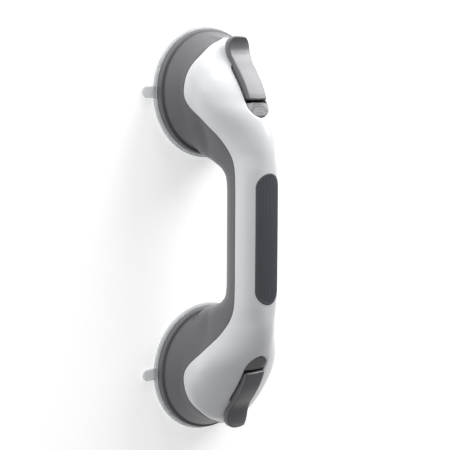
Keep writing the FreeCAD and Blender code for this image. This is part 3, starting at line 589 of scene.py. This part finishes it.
def outline_value(spots, across, height):
    """Signed distance in a plane to a closed outline, below zero inside."""
    x, y = np.asarray(across), np.asarray(height)
    nearest = np.full(x.shape, np.inf)
    inside = np.zeros(x.shape, bool)
    for (ax, ay), (bx, by) in zip(spots, np.roll(spots, -1, axis=0)):
        ex, ey = bx - ax, by - ay
        share = np.clip(((x - ax) * ex + (y - ay) * ey) / max(ex * ex + ey * ey, 1e-12), 0, 1)
        nearest = np.minimum(nearest, (x - ax - share * ex) ** 2 + (y - ay - share * ey) ** 2)
        if ay != by:
            crosses = ((ay > y) != (by > y)) & (x < ex * (y - ay) / ey + ax)
            inside ^= crosses
    return np.where(inside, -1, 1) * np.sqrt(nearest)


def skin(field, low, high, pitch):
    """Mesh of the surface where a field is zero: a vertex in each cell it passes through, drawn onto it."""
    low = np.asarray(low, float)
    counts = np.ceil((np.asarray(high) - low) / pitch).astype(int) + 1
    axes = [low[i] + pitch * np.arange(counts[i]) for i in range(3)]
    value = field(np.stack(np.meshgrid(*axes, indexing="ij"), -1))
    total = np.zeros((*counts, 3))
    hits = np.zeros(counts)
    quads = []
    for axis in range(3):
        first = [slice(None)] * 3
        second = [slice(None)] * 3
        first[axis], second[axis] = slice(0, -1), slice(1, None)
        a, b = value[tuple(first)], value[tuple(second)]
        spots = np.argwhere((a < 0) != (b < 0))
        av, bv = a[tuple(spots.T)], b[tuple(spots.T)]
        place = low + pitch * spots.astype(float)
        place[:, axis] += pitch * av / (av - bv)
        u, v = (axis + 1) % 3, (axis + 2) % 3
        corners = []
        for back_u, back_v in ((0, 0), (1, 0), (1, 1), (0, 1)):
            cell = spots.copy()
            cell[:, u] -= back_u
            cell[:, v] -= back_v
            np.add.at(total, tuple(cell.T), place)
            np.add.at(hits, tuple(cell.T), 1)
            corners.append(cell)
        quads.append((np.stack(corners, 1), av < 0))
    index = np.full(counts, -1)
    used = np.argwhere(hits > 0)
    index[tuple(used.T)] = np.arange(len(used))
    points = total[tuple(used.T)] / hits[tuple(used.T)][:, None]
    for _ in range(4):
        slope = gradient(field, points, 0.02)
        steepness = np.maximum((slope ** 2).sum(-1), 0.05)
        move = -slope * (field(points) / steepness)[:, None]
        points = points + np.clip(move, -0.4 * pitch, 0.4 * pitch)
    faces = []
    for corners, outward in quads:
        for square, way in zip(index[tuple(np.moveaxis(corners, -1, 0))].tolist(), outward.tolist()):
            faces.append(square if way else square[::-1])
    return points, faces


def lever_outline():
    """Side outline of the lever: top, tip, finger tab, flat belly, cam, heel."""
    cam = []
    for angle in np.linspace(0, math.pi / 2, 9):
        reach = CAM_REACH - CAM_FALL * angle
        cam.append((-reach * math.sin(angle) + CAM_FALL * math.cos(angle),
                    PIN_HEIGHT - reach * math.cos(angle) - CAM_FALL * math.sin(angle)))
    plate = smooth_run(LEVER_TOP) + list(LEVER_TIP) + smooth_run(LEVER_BELOW)
    return np.array(plate + cam + list(LEVER_HEEL))


def smooth_run(spots, steps=6):
    """Points of a smooth curve through spots."""
    spots = np.asarray(spots, float)
    padded = np.concatenate([2 * spots[:1] - spots[1:2], spots, 2 * spots[-1:] - spots[-2:-1]])
    out = []
    for i in range(1, len(padded) - 2):
        a, b, c, d = padded[i - 1:i + 3]
        for t in np.arange(steps) / steps:
            out.append(tuple(0.5 * (2 * b + (c - a) * t + (2 * a - 5 * b + 4 * c - d) * t ** 2
                                    + (3 * b - a - 3 * c + d) * t ** 3)))
    out.append(tuple(spots[-1]))
    return out


def rounded_slab(x, y, half_x, half_y, radius):
    """Signed distance in plan to a rectangle with round corners."""
    over_x, over_y = np.abs(x) - half_x + radius, np.abs(y) - half_y + radius
    outside = np.hypot(np.maximum(over_x, 0), np.maximum(over_y, 0))
    return outside + np.minimum(np.maximum(over_x, over_y), 0) - radius


LEVER_SIDE = lever_outline()


def lever_plan(u, y):
    """Signed distance to the lever seen from above: straight sides that flare into a round finger tab."""
    start, end = LEVER_SIDE[:, 0].min(), LEVER_SIDE[:, 0].max()
    flare = ease((u - LEVER_FLARE_START) / (LEVER_FLARE_END - LEVER_FLARE_START))
    half = LEVER_HALF + (LEVER_TAB_HALF - LEVER_HALF) * flare
    middle, reach = (start + end) / 2, (end - start) / 2
    tip = rounded_slab(u - middle, y * LEVER_TAB_HALF / half, reach, LEVER_TAB_HALF, LEVER_TIP_ROUND)
    heel = rounded_slab(u - middle, y, reach, LEVER_HALF, LEVER_HEEL_ROUND)
    return np.where(u < middle, heel, tip)


def lever_value(p):
    """Below zero inside the lever, about its bell's axis."""
    u, y, z = p[..., 0], p[..., 1], p[..., 2]
    across = np.abs(y)
    side = outline_value(LEVER_SIDE, u, z + LEVER_CROWN * (across / LEVER_HALF) ** 2)
    blank = blend_high(side, lever_plan(u, y), 2 * LEVER_EDGE)
    slot = np.maximum(across - CHEEK_GAP / 2, np.maximum(z - PIN_HEIGHT, np.abs(u + 3.75) - 8.25))
    above = np.maximum(np.abs(z - PIN_HEIGHT - 2) - 2.5, np.abs(u + 6) - 6)
    slot_up = np.maximum(across - CHEEK_GAP / 2, above)
    from_pin = np.hypot(u, z - PIN_HEIGHT)
    eye = np.maximum(across - CHEEK_GAP / 2, from_pin - EYE_ROOM)
    pin = from_pin - PIN_ROOM
    hollow = np.maximum(across - CAVITY_HALF, outline_value(np.array(LEVER_CAVITY), u, z))
    cut = np.minimum(np.minimum(slot, slot_up), np.minimum(np.minimum(eye, pin), hollow))
    return blend_high(blank, -cut, 0.5)


def seat_plan(u, y):
    """Signed distance in plan to the inside of the opening's wall."""
    back = np.minimum(u + SLOT_STRAIGHT, 0)
    radius = np.hypot(back, y)
    reach = SEAT_HALF - LIP_GROWTH * (back / np.maximum(radius, 1e-6)) ** 2
    return np.maximum(radius - reach - SEAT_INTO_WALL * ease(-back / 4), u - SLOT_OUTBOARD + 0.2)


def seat_value(p):
    """Below zero inside the lever seat, about its bell's axis: a lining with a ramp at its inboard end."""
    u, y, z = p[..., 0], p[..., 1], p[..., 2]
    under_shell = body_value(np.stack([u + CUP_AXIS, y, z], -1)) + SEAT_BELOW_SKIN
    blank = blend_high(under_shell, np.maximum(seat_plan(u, y), SEAT_FOOT - z), 0.8)
    ridges = RIDGE_DEPTH * np.cos(2 * math.pi * (u - RIDGE_BOW * y * y) / RIDGE_PITCH)
    ramp = RAMP_FOOT[1] + RAMP_SLOPE * (RAMP_FOOT[0] - u) + ridges
    side = np.abs(y) - ROOM_HALF
    open_top = np.maximum((ramp - z) * 0.8, side - 2 * ease((-6 - u) / 3))
    sweep = np.minimum(np.hypot(u, z - PIN_HEIGHT), np.hypot(u, z - PIN_HEIGHT + STROKE)) - LEVER_SWEEP
    outboard = np.maximum(-u - 1, ROOM_FLOOR - z)
    room = np.minimum(open_top, np.maximum(np.minimum(sweep, outboard), side))
    return blend_high(blank, -room, 0.4)


CUP_SIDE = round_corners((
    (0.0, DISH_TOP),
    (14.0, 5.6),
    (28.0, 3.4),
    (38.0, 1.1),
    (44.0, 0.0),
    (47.9, 0.0),
    (47.9, 2.2),
    (43.0, 2.2),
    (38.0, 4.4),
    (13.0, 9.6),
    (13.0, 13.0),
    (5.1, 13.0),
    (5.1, 11.65),
    (10.05, 11.65),
    (10.05, STUD_FOOT),
    (0.0, STUD_FOOT),
), 0.8)
DRUM_SIDE = round_corners((
    (5.1, 26.0),
    (8.5, 26.0),
    (8.5, 36.5),
    (13.3, 36.5),
    (13.3, 19.0),
    (36.6, 19.0),
    (36.2, 22.0),
    (15.5, 22.0),
    (15.5, 40.0),
    (5.1, 40.0),
), 0.6)


def cup_profile():
    """Side of the suction cup from its axis, through the dish and rim, back to the axis over the boss."""
    clear_of_axis = 0.9
    spots = [spot for spot in CUP_SIDE if spot[0] > clear_of_axis]
    return [(0.0, DISH_TOP)] + spots + [(0.0, STUD_FOOT)]


def tab_value(p):
    """Below zero inside the cup's pull tab."""
    x, y, z = p[..., 0], p[..., 1], p[..., 2]
    plan = rounded_slab(x, y - TAB_MIDDLE, TAB_HALF, TAB_REACH, TAB_ROUND)
    return np.maximum(blend_high(plan, np.maximum(z - TAB_TOP, -z), 0.9), TAB_ROOT - y)


def lathe(profile, count=240):
    """Closed profile of radius and height turned about the upright axis; it starts and ends on the axis."""
    spots = []
    for i in range(count):
        turn = 2 * math.pi * i / count
        for radius, height in profile[1:-1]:
            spots.append((radius * math.cos(turn), radius * math.sin(turn), height))
    rows = len(profile) - 2
    faces = []
    for i in range(count):
        j = (i + 1) % count
        for m in range(rows - 1):
            faces.append((i * rows + m, j * rows + m, j * rows + m + 1, i * rows + m + 1))
    start, end = len(spots), len(spots) + 1
    spots += [(0, 0, profile[0][1]), (0, 0, profile[-1][1])]
    for i in range(count):
        j = (i + 1) % count
        faces.append((start, j * rows, i * rows))
        faces.append((end, i * rows + rows - 1, j * rows + rows - 1))
    return np.array(spots), faces


def drum_value(p):
    """Below zero inside the deck, spring drum and ribs that close the bell, about its axis."""
    x, y, z = p[..., 0], p[..., 1], p[..., 2]
    radius = np.hypot(x, y)
    drum = outline_value(DRUM_SIDE, radius, z)
    turn = np.arctan2(y, x)
    step = 2 * math.pi / DECK_RIBS
    off = (turn + step / 2) % step - step / 2
    thickness = np.abs(np.sin(off) * radius) - DECK_RIB_HALF
    height = np.abs(z - DECK_RIB_HEIGHT) - DECK_RIB_RISE
    length = np.abs(radius - DECK_RIB_MIDDLE) - DECK_RIB_REACH
    rib = np.maximum(thickness, np.maximum(height, length))
    return blend_low(drum, rib, 0.8)


def place_at_ends(name, points, faces, turned=True):
    """The same mesh about both bells' axes; the lower one is turned half round, or mirrored."""
    things = {}
    for end, side in ENDS:
        if side > 0:
            spots, kept = points, faces
        elif turned:
            spots, kept = points * (-1, -1, 1), faces
        else:
            spots, kept = points * (-1, 1, 1), [face[::-1] for face in faces]
        things[end] = mesh_object(end + name, spots + np.array((side * CUP_AXIS, 0, 0)), kept)
    return things


def merge(*parts):
    """Several meshes given as points and faces, as one."""
    points, faces, start = [], [], 0
    for spots, polygons in parts:
        points.append(np.asarray(spots, float))
        faces += [[start + i for i in polygon] for polygon in polygons]
        start += len(spots)
    return np.concatenate(points), faces


def grip_dots():
    """Small domes on the lever's finger tab."""
    spots, faces = [], []
    top_places, top_heights = np.array(LEVER_TOP).T
    for row, u in enumerate(DOT_ROWS):
        crown = float(monotone(top_places, top_heights, np.array(u)))
        for y in DOT_PLACES + (0.9 if row % 2 else 0):
            if abs(y) > 6 - 0.25 * max(u - 33, 0):
                continue
            base = len(spots)
            height = crown - LEVER_CROWN * (y / LEVER_HALF) ** 2 - DOT_SINK
            for radius, rise in DOT_RINGS:
                for i in range(DOT_SIDES):
                    angle = 2 * math.pi * i / DOT_SIDES
                    spots.append((u + radius * math.cos(angle), y + radius * math.sin(angle), height + rise))
            for level in range(len(DOT_RINGS) - 1):
                low = base + level * DOT_SIDES
                high = low + DOT_SIDES
                for i in range(DOT_SIDES):
                    j = (i + 1) % DOT_SIDES
                    faces.append([low + i, low + j, high + j, high + i])
            faces.append([base + (len(DOT_RINGS) - 1) * DOT_SIDES + i for i in range(DOT_SIDES)])
            faces.append([base + i for i in reversed(range(DOT_SIDES))])
    return np.array(spots), faces


def palm_pad():
    """Ribbed pad let into the crown: rounded rim, ribs that run along the bar and end short of the rim."""
    rows = 181
    straight = PAD_HALF - PAD_WIDTH
    round_end = straight + PAD_WIDTH * np.sin(np.radians(np.arange(0, 88, 3.0)))
    along = np.concatenate([np.arange(0, straight, 1.8), round_end])
    along = np.concatenate([-along[:0:-1], along])
    beyond = np.maximum(np.abs(along) - straight, 0)
    half = np.sqrt(np.maximum(PAD_WIDTH ** 2 - beyond ** 2, 0.01))
    even = np.linspace(-1, 1, rows)
    share = np.sin(np.linspace(-math.pi / 2, math.pi / 2, rows) * 0.999) * 0.35 + even * 0.65
    share = share / share[-1]
    y = half[:, None] * share[None, :]
    x = np.broadcast_to(along[:, None], y.shape)
    origins = np.stack([x, y, np.full(y.shape, 54.0)], -1)
    upright = np.broadcast_to(np.array((0.0, 0.0, 1.0)), origins.shape)
    face = cast(origins, upright)
    margin = PAD_WIDTH - np.hypot(np.maximum(np.abs(x) - straight, 0), y)
    rim = np.sqrt(np.clip(1 - (1 - np.clip(margin / PAD_RIM, 0, 1)) ** 2, 0, 1))
    ribbed = ease((margin - PAD_MARGIN) / 0.5)
    wave = 0.5 - 0.5 * np.cos(2 * math.pi * y / RIB_PITCH)
    rise = (PAD_EDGE_BELOW_SKIN + PAD_PROUD) * rim - RIB_DEPTH * ribbed * wave
    top = face[..., 2] - PAD_EDGE_BELOW_SKIN + rise
    upper = np.stack([x, y, top], -1)
    lower = np.stack([x, y, face[..., 2] - PAD_BELOW_SKIN], -1)
    count, size = y.shape
    faces = []
    for k in range(count - 1):
        for m in range(size - 1):
            a = k * size + m
            faces.append((a, a + size, a + size + 1, a + 1))
            b = count * size + a
            faces.append((b + 1, b + size + 1, b + size, b))
    skirt = [(k, 0) for k in range(count)] + [(count - 1, m) for m in range(1, size)]
    skirt += [(k, size - 1) for k in range(count - 2, -1, -1)] + [(0, m) for m in range(size - 2, 0, -1)]
    for (k0, m0), (k1, m1) in zip(skirt, skirt[1:] + skirt[:1]):
        a, b = k0 * size + m0, k1 * size + m1
        faces.append((a, count * size + a, count * size + b, b))
    return mesh_object("palm_grip_pad", np.concatenate([upper.reshape(-1, 3), lower.reshape(-1, 3)]), faces)


def spring_mesh(side):
    """Return spring: a round wire wound five times, its ends closed flat."""
    turns, around, per_turn = 5.0, 10, 40
    radius, wire = 10.5, 0.7
    low, high = SPRING_LOW, SPRING_HIGH
    share = np.linspace(0, 1, int(turns * per_turn) + 1)
    rise = ease(share) * 0.35 + share * 0.65
    angle = 2 * math.pi * turns * share
    centre = np.stack([radius * np.cos(angle), radius * np.sin(angle), low + (high - low) * rise], -1)
    ahead = unit(np.gradient(centre, axis=0))
    outward = np.stack([np.cos(angle), np.sin(angle), np.zeros(len(angle))], -1)
    third = np.cross(ahead, outward)
    loops = []
    for i in range(around):
        turn = 2 * math.pi * i / around
        loops.append(centre + wire * (outward * math.cos(turn) + third * math.sin(turn)))
    points = np.stack(loops, 1)
    count = len(centre)
    faces = []
    for k in range(count - 1):
        low, high = k * around, (k + 1) * around
        for m in range(around):
            n = (m + 1) % around
            faces.append((low + m, low + n, high + n, high + m))
    faces.append(tuple(reversed(range(around))))
    faces.append(tuple((count - 1) * around + m for m in range(around)))
    return points.reshape(-1, 3) + np.array((side * CUP_AXIS, 0, 0)), faces


class Look:
    """Node material in the making."""

    def __init__(self, name):
        self.material = bpy.data.materials.new(name)
        self.material.use_nodes = True
        self.tree = self.material.node_tree
        self.shader = self.tree.nodes["Principled BSDF"]
        self.place = self.node("ShaderNodeTexCoord").outputs["Object"]

    def node(self, kind, **settings):
        node = self.tree.nodes.new(kind)
        for name, value in settings.items():
            setattr(node, name, value)
        return node

    def link(self, output, socket):
        self.tree.links.new(output, socket)

    def noise(self, scale, detail=2.0, roughness=0.5):
        node = self.node("ShaderNodeTexNoise")
        node.inputs["Scale"].default_value = scale
        node.inputs["Detail"].default_value = detail
        node.inputs["Roughness"].default_value = roughness
        self.link(self.place, node.inputs["Vector"])
        return node.outputs["Fac"]

    def spread(self, value, low, high):
        """A value from 0 to 1 laid over a range."""
        node = self.node("ShaderNodeMapRange")
        node.inputs["To Min"].default_value = low
        node.inputs["To Max"].default_value = high
        self.link(value, node.inputs["Value"])
        return node.outputs["Result"]

    def colours(self, value, dark, light, low=0.3, high=0.7):
        ramp = self.node("ShaderNodeValToRGB")
        ends = ramp.color_ramp.elements
        ends[0].position, ends[0].color = low, (*dark, 1)
        ends[1].position, ends[1].color = high, (*light, 1)
        self.link(value, ramp.inputs["Fac"])
        self.link(ramp.outputs["Color"], self.shader.inputs["Base Color"])

    def rough(self, value, low, high):
        self.link(self.spread(value, low, high), self.shader.inputs["Roughness"])

    def bump(self, value, distance, strength=1.0):
        node = self.node("ShaderNodeBump")
        node.inputs["Distance"].default_value = distance
        node.inputs["Strength"].default_value = strength
        self.link(value, node.inputs["Height"])
        self.link(node.outputs["Normal"], self.shader.inputs["Normal"])


def moulded(name, dark, light, rough, grain, specular=0.5, coat=0.0):
    """Injection-moulded plastic: faint flow shading, fine skin texture."""
    look = Look(name)
    look.colours(look.noise(9.0, 2.0), dark, light)
    look.rough(look.noise(60.0, 3.0), *rough)
    look.bump(look.noise(1500.0, 2.0, 0.6), grain)
    look.shader.inputs["Specular IOR Level"].default_value = specular
    look.shader.inputs["Coat Weight"].default_value = coat
    look.shader.inputs["Coat Roughness"].default_value = 0.25
    return look.material


def metal(name, dark, light, rough, scale):
    """Bare steel, faintly mottled."""
    look = Look(name)
    look.colours(look.noise(scale, 3.0), dark, light)
    look.rough(look.noise(scale * 3, 3.0), *rough)
    look.bump(look.noise(scale * 6, 3.0), 0.00001)
    look.shader.inputs["Metallic"].default_value = 1.0
    return look.material


def clear_rubber(name):
    """Clear soft plastic of the cups: cloudy, lets light through, glossy."""
    look = Look(name)
    look.colours(look.noise(25.0, 3.0), (0.88, 0.90, 0.91), (0.94, 0.96, 0.97))
    look.rough(look.noise(90.0, 3.0), 0.16, 0.28)
    look.bump(look.noise(60.0, 2.0), 0.00002)
    look.shader.inputs["Transmission Weight"].default_value = 0.45
    look.shader.inputs["IOR"].default_value = 1.25
    look.shader.inputs["Specular IOR Level"].default_value = 0.6
    return look.material


def make_looks():
    """All materials, by slot."""
    return {
        "white_abs": moulded(
            "white_abs", (0.80, 0.81, 0.83), (0.85, 0.86, 0.88), (0.26, 0.36), 0.000006, 0.5, 0.15),
        "grey_abs": moulded(
            "grey_abs", (0.132, 0.130, 0.142), (0.150, 0.148, 0.160), (0.34, 0.44), 0.00002, 0.6),
        "lever_abs": moulded(
            "lever_abs", (0.130, 0.130, 0.140), (0.150, 0.150, 0.162), (0.30, 0.40), 0.00002, 0.7),
        "seat_abs": moulded(
            "seat_abs", (0.19, 0.19, 0.20), (0.225, 0.225, 0.235), (0.36, 0.48), 0.00002, 0.6),
        "grip_rubber": moulded(
            "grip_rubber", (0.085, 0.092, 0.105), (0.105, 0.113, 0.128), (0.58, 0.72), 0.00003, 0.35),
        "stem_nylon": moulded(
            "stem_nylon", (0.62, 0.60, 0.54), (0.70, 0.68, 0.62), (0.40, 0.52), 0.00001, 0.5),
        "clear_elastomer": clear_rubber("clear_elastomer"),
        "screw_steel": metal("screw_steel", (0.50, 0.51, 0.52), (0.66, 0.67, 0.68), (0.28, 0.45), 180.0),
        "pin_steel": metal("pin_steel", (0.52, 0.52, 0.53), (0.62, 0.62, 0.63), (0.20, 0.34), 260.0),
        "plate_steel": metal("plate_steel", (0.55, 0.55, 0.55), (0.68, 0.68, 0.68), (0.25, 0.42), 140.0),
        "spring_steel": metal("spring_steel", (0.40, 0.40, 0.41), (0.52, 0.52, 0.53), (0.28, 0.45), 300.0),
    }


def dress(thing, slot, looks, body=None):
    """Material and slot of a new piece, and the body that it rides on."""
    thing.data.materials.clear()
    thing.data.materials.append(looks[slot])
    if body:
        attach(thing, body)


def carry_over(frame, looks):
    """Gives every CAD node that stays its node material."""
    slots = {part["node"]: part["material_slot"] for part in frame["record"]["subparts"]}
    for name, node in frame["nodes"].items():
        node.data.materials.clear()
        node.data.materials.append(looks[slots[name]])


def build_shells(looks):
    """Pieces that are part of the housing: cover, rear shell with its drums, and palm pad."""
    places, facing, plan = stations()
    cover = four_quarters("cover_shell", *cover_sections(places, facing, plan))
    dress(cover, "white_abs", looks, "housing")
    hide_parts("front_cover")
    rear = four_quarters("rear_skin", *rear_sections(places, facing, plan))
    dress(rear, "grey_abs", looks, "housing")
    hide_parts("rear_shell")
    drums = place_at_ends("_spring_drum", *skin(drum_value, (-39, -39, 13), (39, 39, 42), 0.75))
    for drum in drums.values():
        dress(drum, "grey_abs", looks, "housing")
        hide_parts("rear_shell")
    pad = palm_pad()
    dress(pad, "grip_rubber", looks, "housing")
    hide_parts("palm_grip")


def build_ends(looks):
    """Lever, seat, cup and spring at each end."""
    lever_mesh = merge(skin(lever_value, (-8, -10.4, 32), (41, 10.4, 61), 0.4), grip_dots())
    levers = place_at_ends("_lever_skin", *lever_mesh)
    seats = place_at_ends("_seat_liner", *skin(seat_value, (-20, -11, 40), (17, 11, 65), 0.4))
    tab = skin(tab_value, (-9, 45, -0.8), (9, 59, 3), 0.35)
    cups = place_at_ends("_cup_skin", *merge(lathe(cup_profile()), tab), turned=False)
    for end, side in ENDS:
        dress(levers[end], "lever_abs", looks, end + "_lever_body")
        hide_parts(end + "_lever")
        dress(seats[end], "seat_abs", looks, "housing")
        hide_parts(end + "_lever_seat")
        dress(cups[end], "clear_elastomer", looks, end + "_cup")
        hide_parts(end + "_suction_cup")
        spring = mesh_object(end + "_spring_coil", *spring_mesh(side))
        dress(spring, "spring_steel", looks)
        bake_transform(spring)
        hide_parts(end + "_return_spring")


def build_floor():
    """Plain pale floor that the bar lies on."""
    size = 3.0
    corners = np.array(((-1, -1, 0), (1, -1, 0), (1, 1, 0), (-1, 1, 0))) * size / MM
    floor = mesh_object("floor", corners, [(0, 1, 2, 3)])
    floor.location.z = -0.0004
    look = Look("floor_paper")
    look.colours(look.noise(3.0), (0.93, 0.93, 0.93), (0.95, 0.95, 0.95))
    look.rough(look.noise(40.0), 0.85, 0.95)
    look.bump(look.noise(900.0), 0.00001)
    look.shader.inputs["Emission Color"].default_value = (1, 1, 1, 1)
    look.shader.inputs["Emission Strength"].default_value = 0.48
    floor.data.materials.append(look.material)


def area_light(name, place, target, size, power):
    """Round soft light aimed at a target."""
    light = bpy.data.lights.new(name, "AREA")
    light.shape = "DISK"
    light.size = size
    light.energy = power
    lamp = bpy.data.objects.new(name, light)
    bpy.context.scene.collection.objects.link(lamp)
    lamp.location = place
    lamp.rotation_euler = (Vector(target) - Vector(place)).to_track_quat("-Z", "Y").to_euler()


def build_lights():
    """Even pale surroundings and three soft lights."""
    world = bpy.data.worlds.new("studio")
    world.use_nodes = True
    world.node_tree.nodes["Background"].inputs["Color"].default_value = (1.0, 1.0, 1.0, 1.0)
    world.node_tree.nodes["Background"].inputs["Strength"].default_value = 0.30
    bpy.context.scene.world = world
    area_light("key", (0.80, 0.70, 0.30), (0, 0, 0.03), 0.7, 2.3)
    area_light("low", (1.10, 0.05, 0.28), (0, 0, 0.03), 0.5, 3.6)
    area_light("rim", (0.72, -0.68, 0.43), (0, 0, 0.03), 0.75, 11.0)


def build_camera():
    """Camera that looks at the bar from its tab side, with the upper end at the top of the frame."""
    data = bpy.data.cameras.new("camera")
    data.sensor_width = 36.0
    data.lens = 95.6
    camera = bpy.data.objects.new("camera", data)
    forward = Vector((-0.112, -0.633, -0.766)).normalized()
    up = Vector((0.994, -0.068, -0.089))
    up = (up - forward * up.dot(forward)).normalized()
    right = forward.cross(up)
    turn = Matrix((right, up, -forward)).transposed().to_4x4()
    camera.matrix_world = Matrix.Translation(Vector((0.103458, 0.551392, 0.690790))) @ turn
    bpy.context.scene.collection.objects.link(camera)
    bpy.context.scene.camera = camera


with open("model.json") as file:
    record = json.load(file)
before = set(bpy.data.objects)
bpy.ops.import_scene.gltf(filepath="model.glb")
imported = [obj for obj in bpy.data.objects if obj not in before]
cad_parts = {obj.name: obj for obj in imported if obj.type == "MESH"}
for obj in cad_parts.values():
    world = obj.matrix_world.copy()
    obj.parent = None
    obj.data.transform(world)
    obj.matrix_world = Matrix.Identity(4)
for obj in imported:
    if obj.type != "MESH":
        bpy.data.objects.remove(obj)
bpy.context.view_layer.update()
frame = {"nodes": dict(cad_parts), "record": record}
looks = make_looks()
carry_over(frame, looks)
build_shells(looks)
build_ends(looks)
build_floor()
build_lights()
build_camera()
bpy.context.scene.view_settings.view_transform = "Standard"
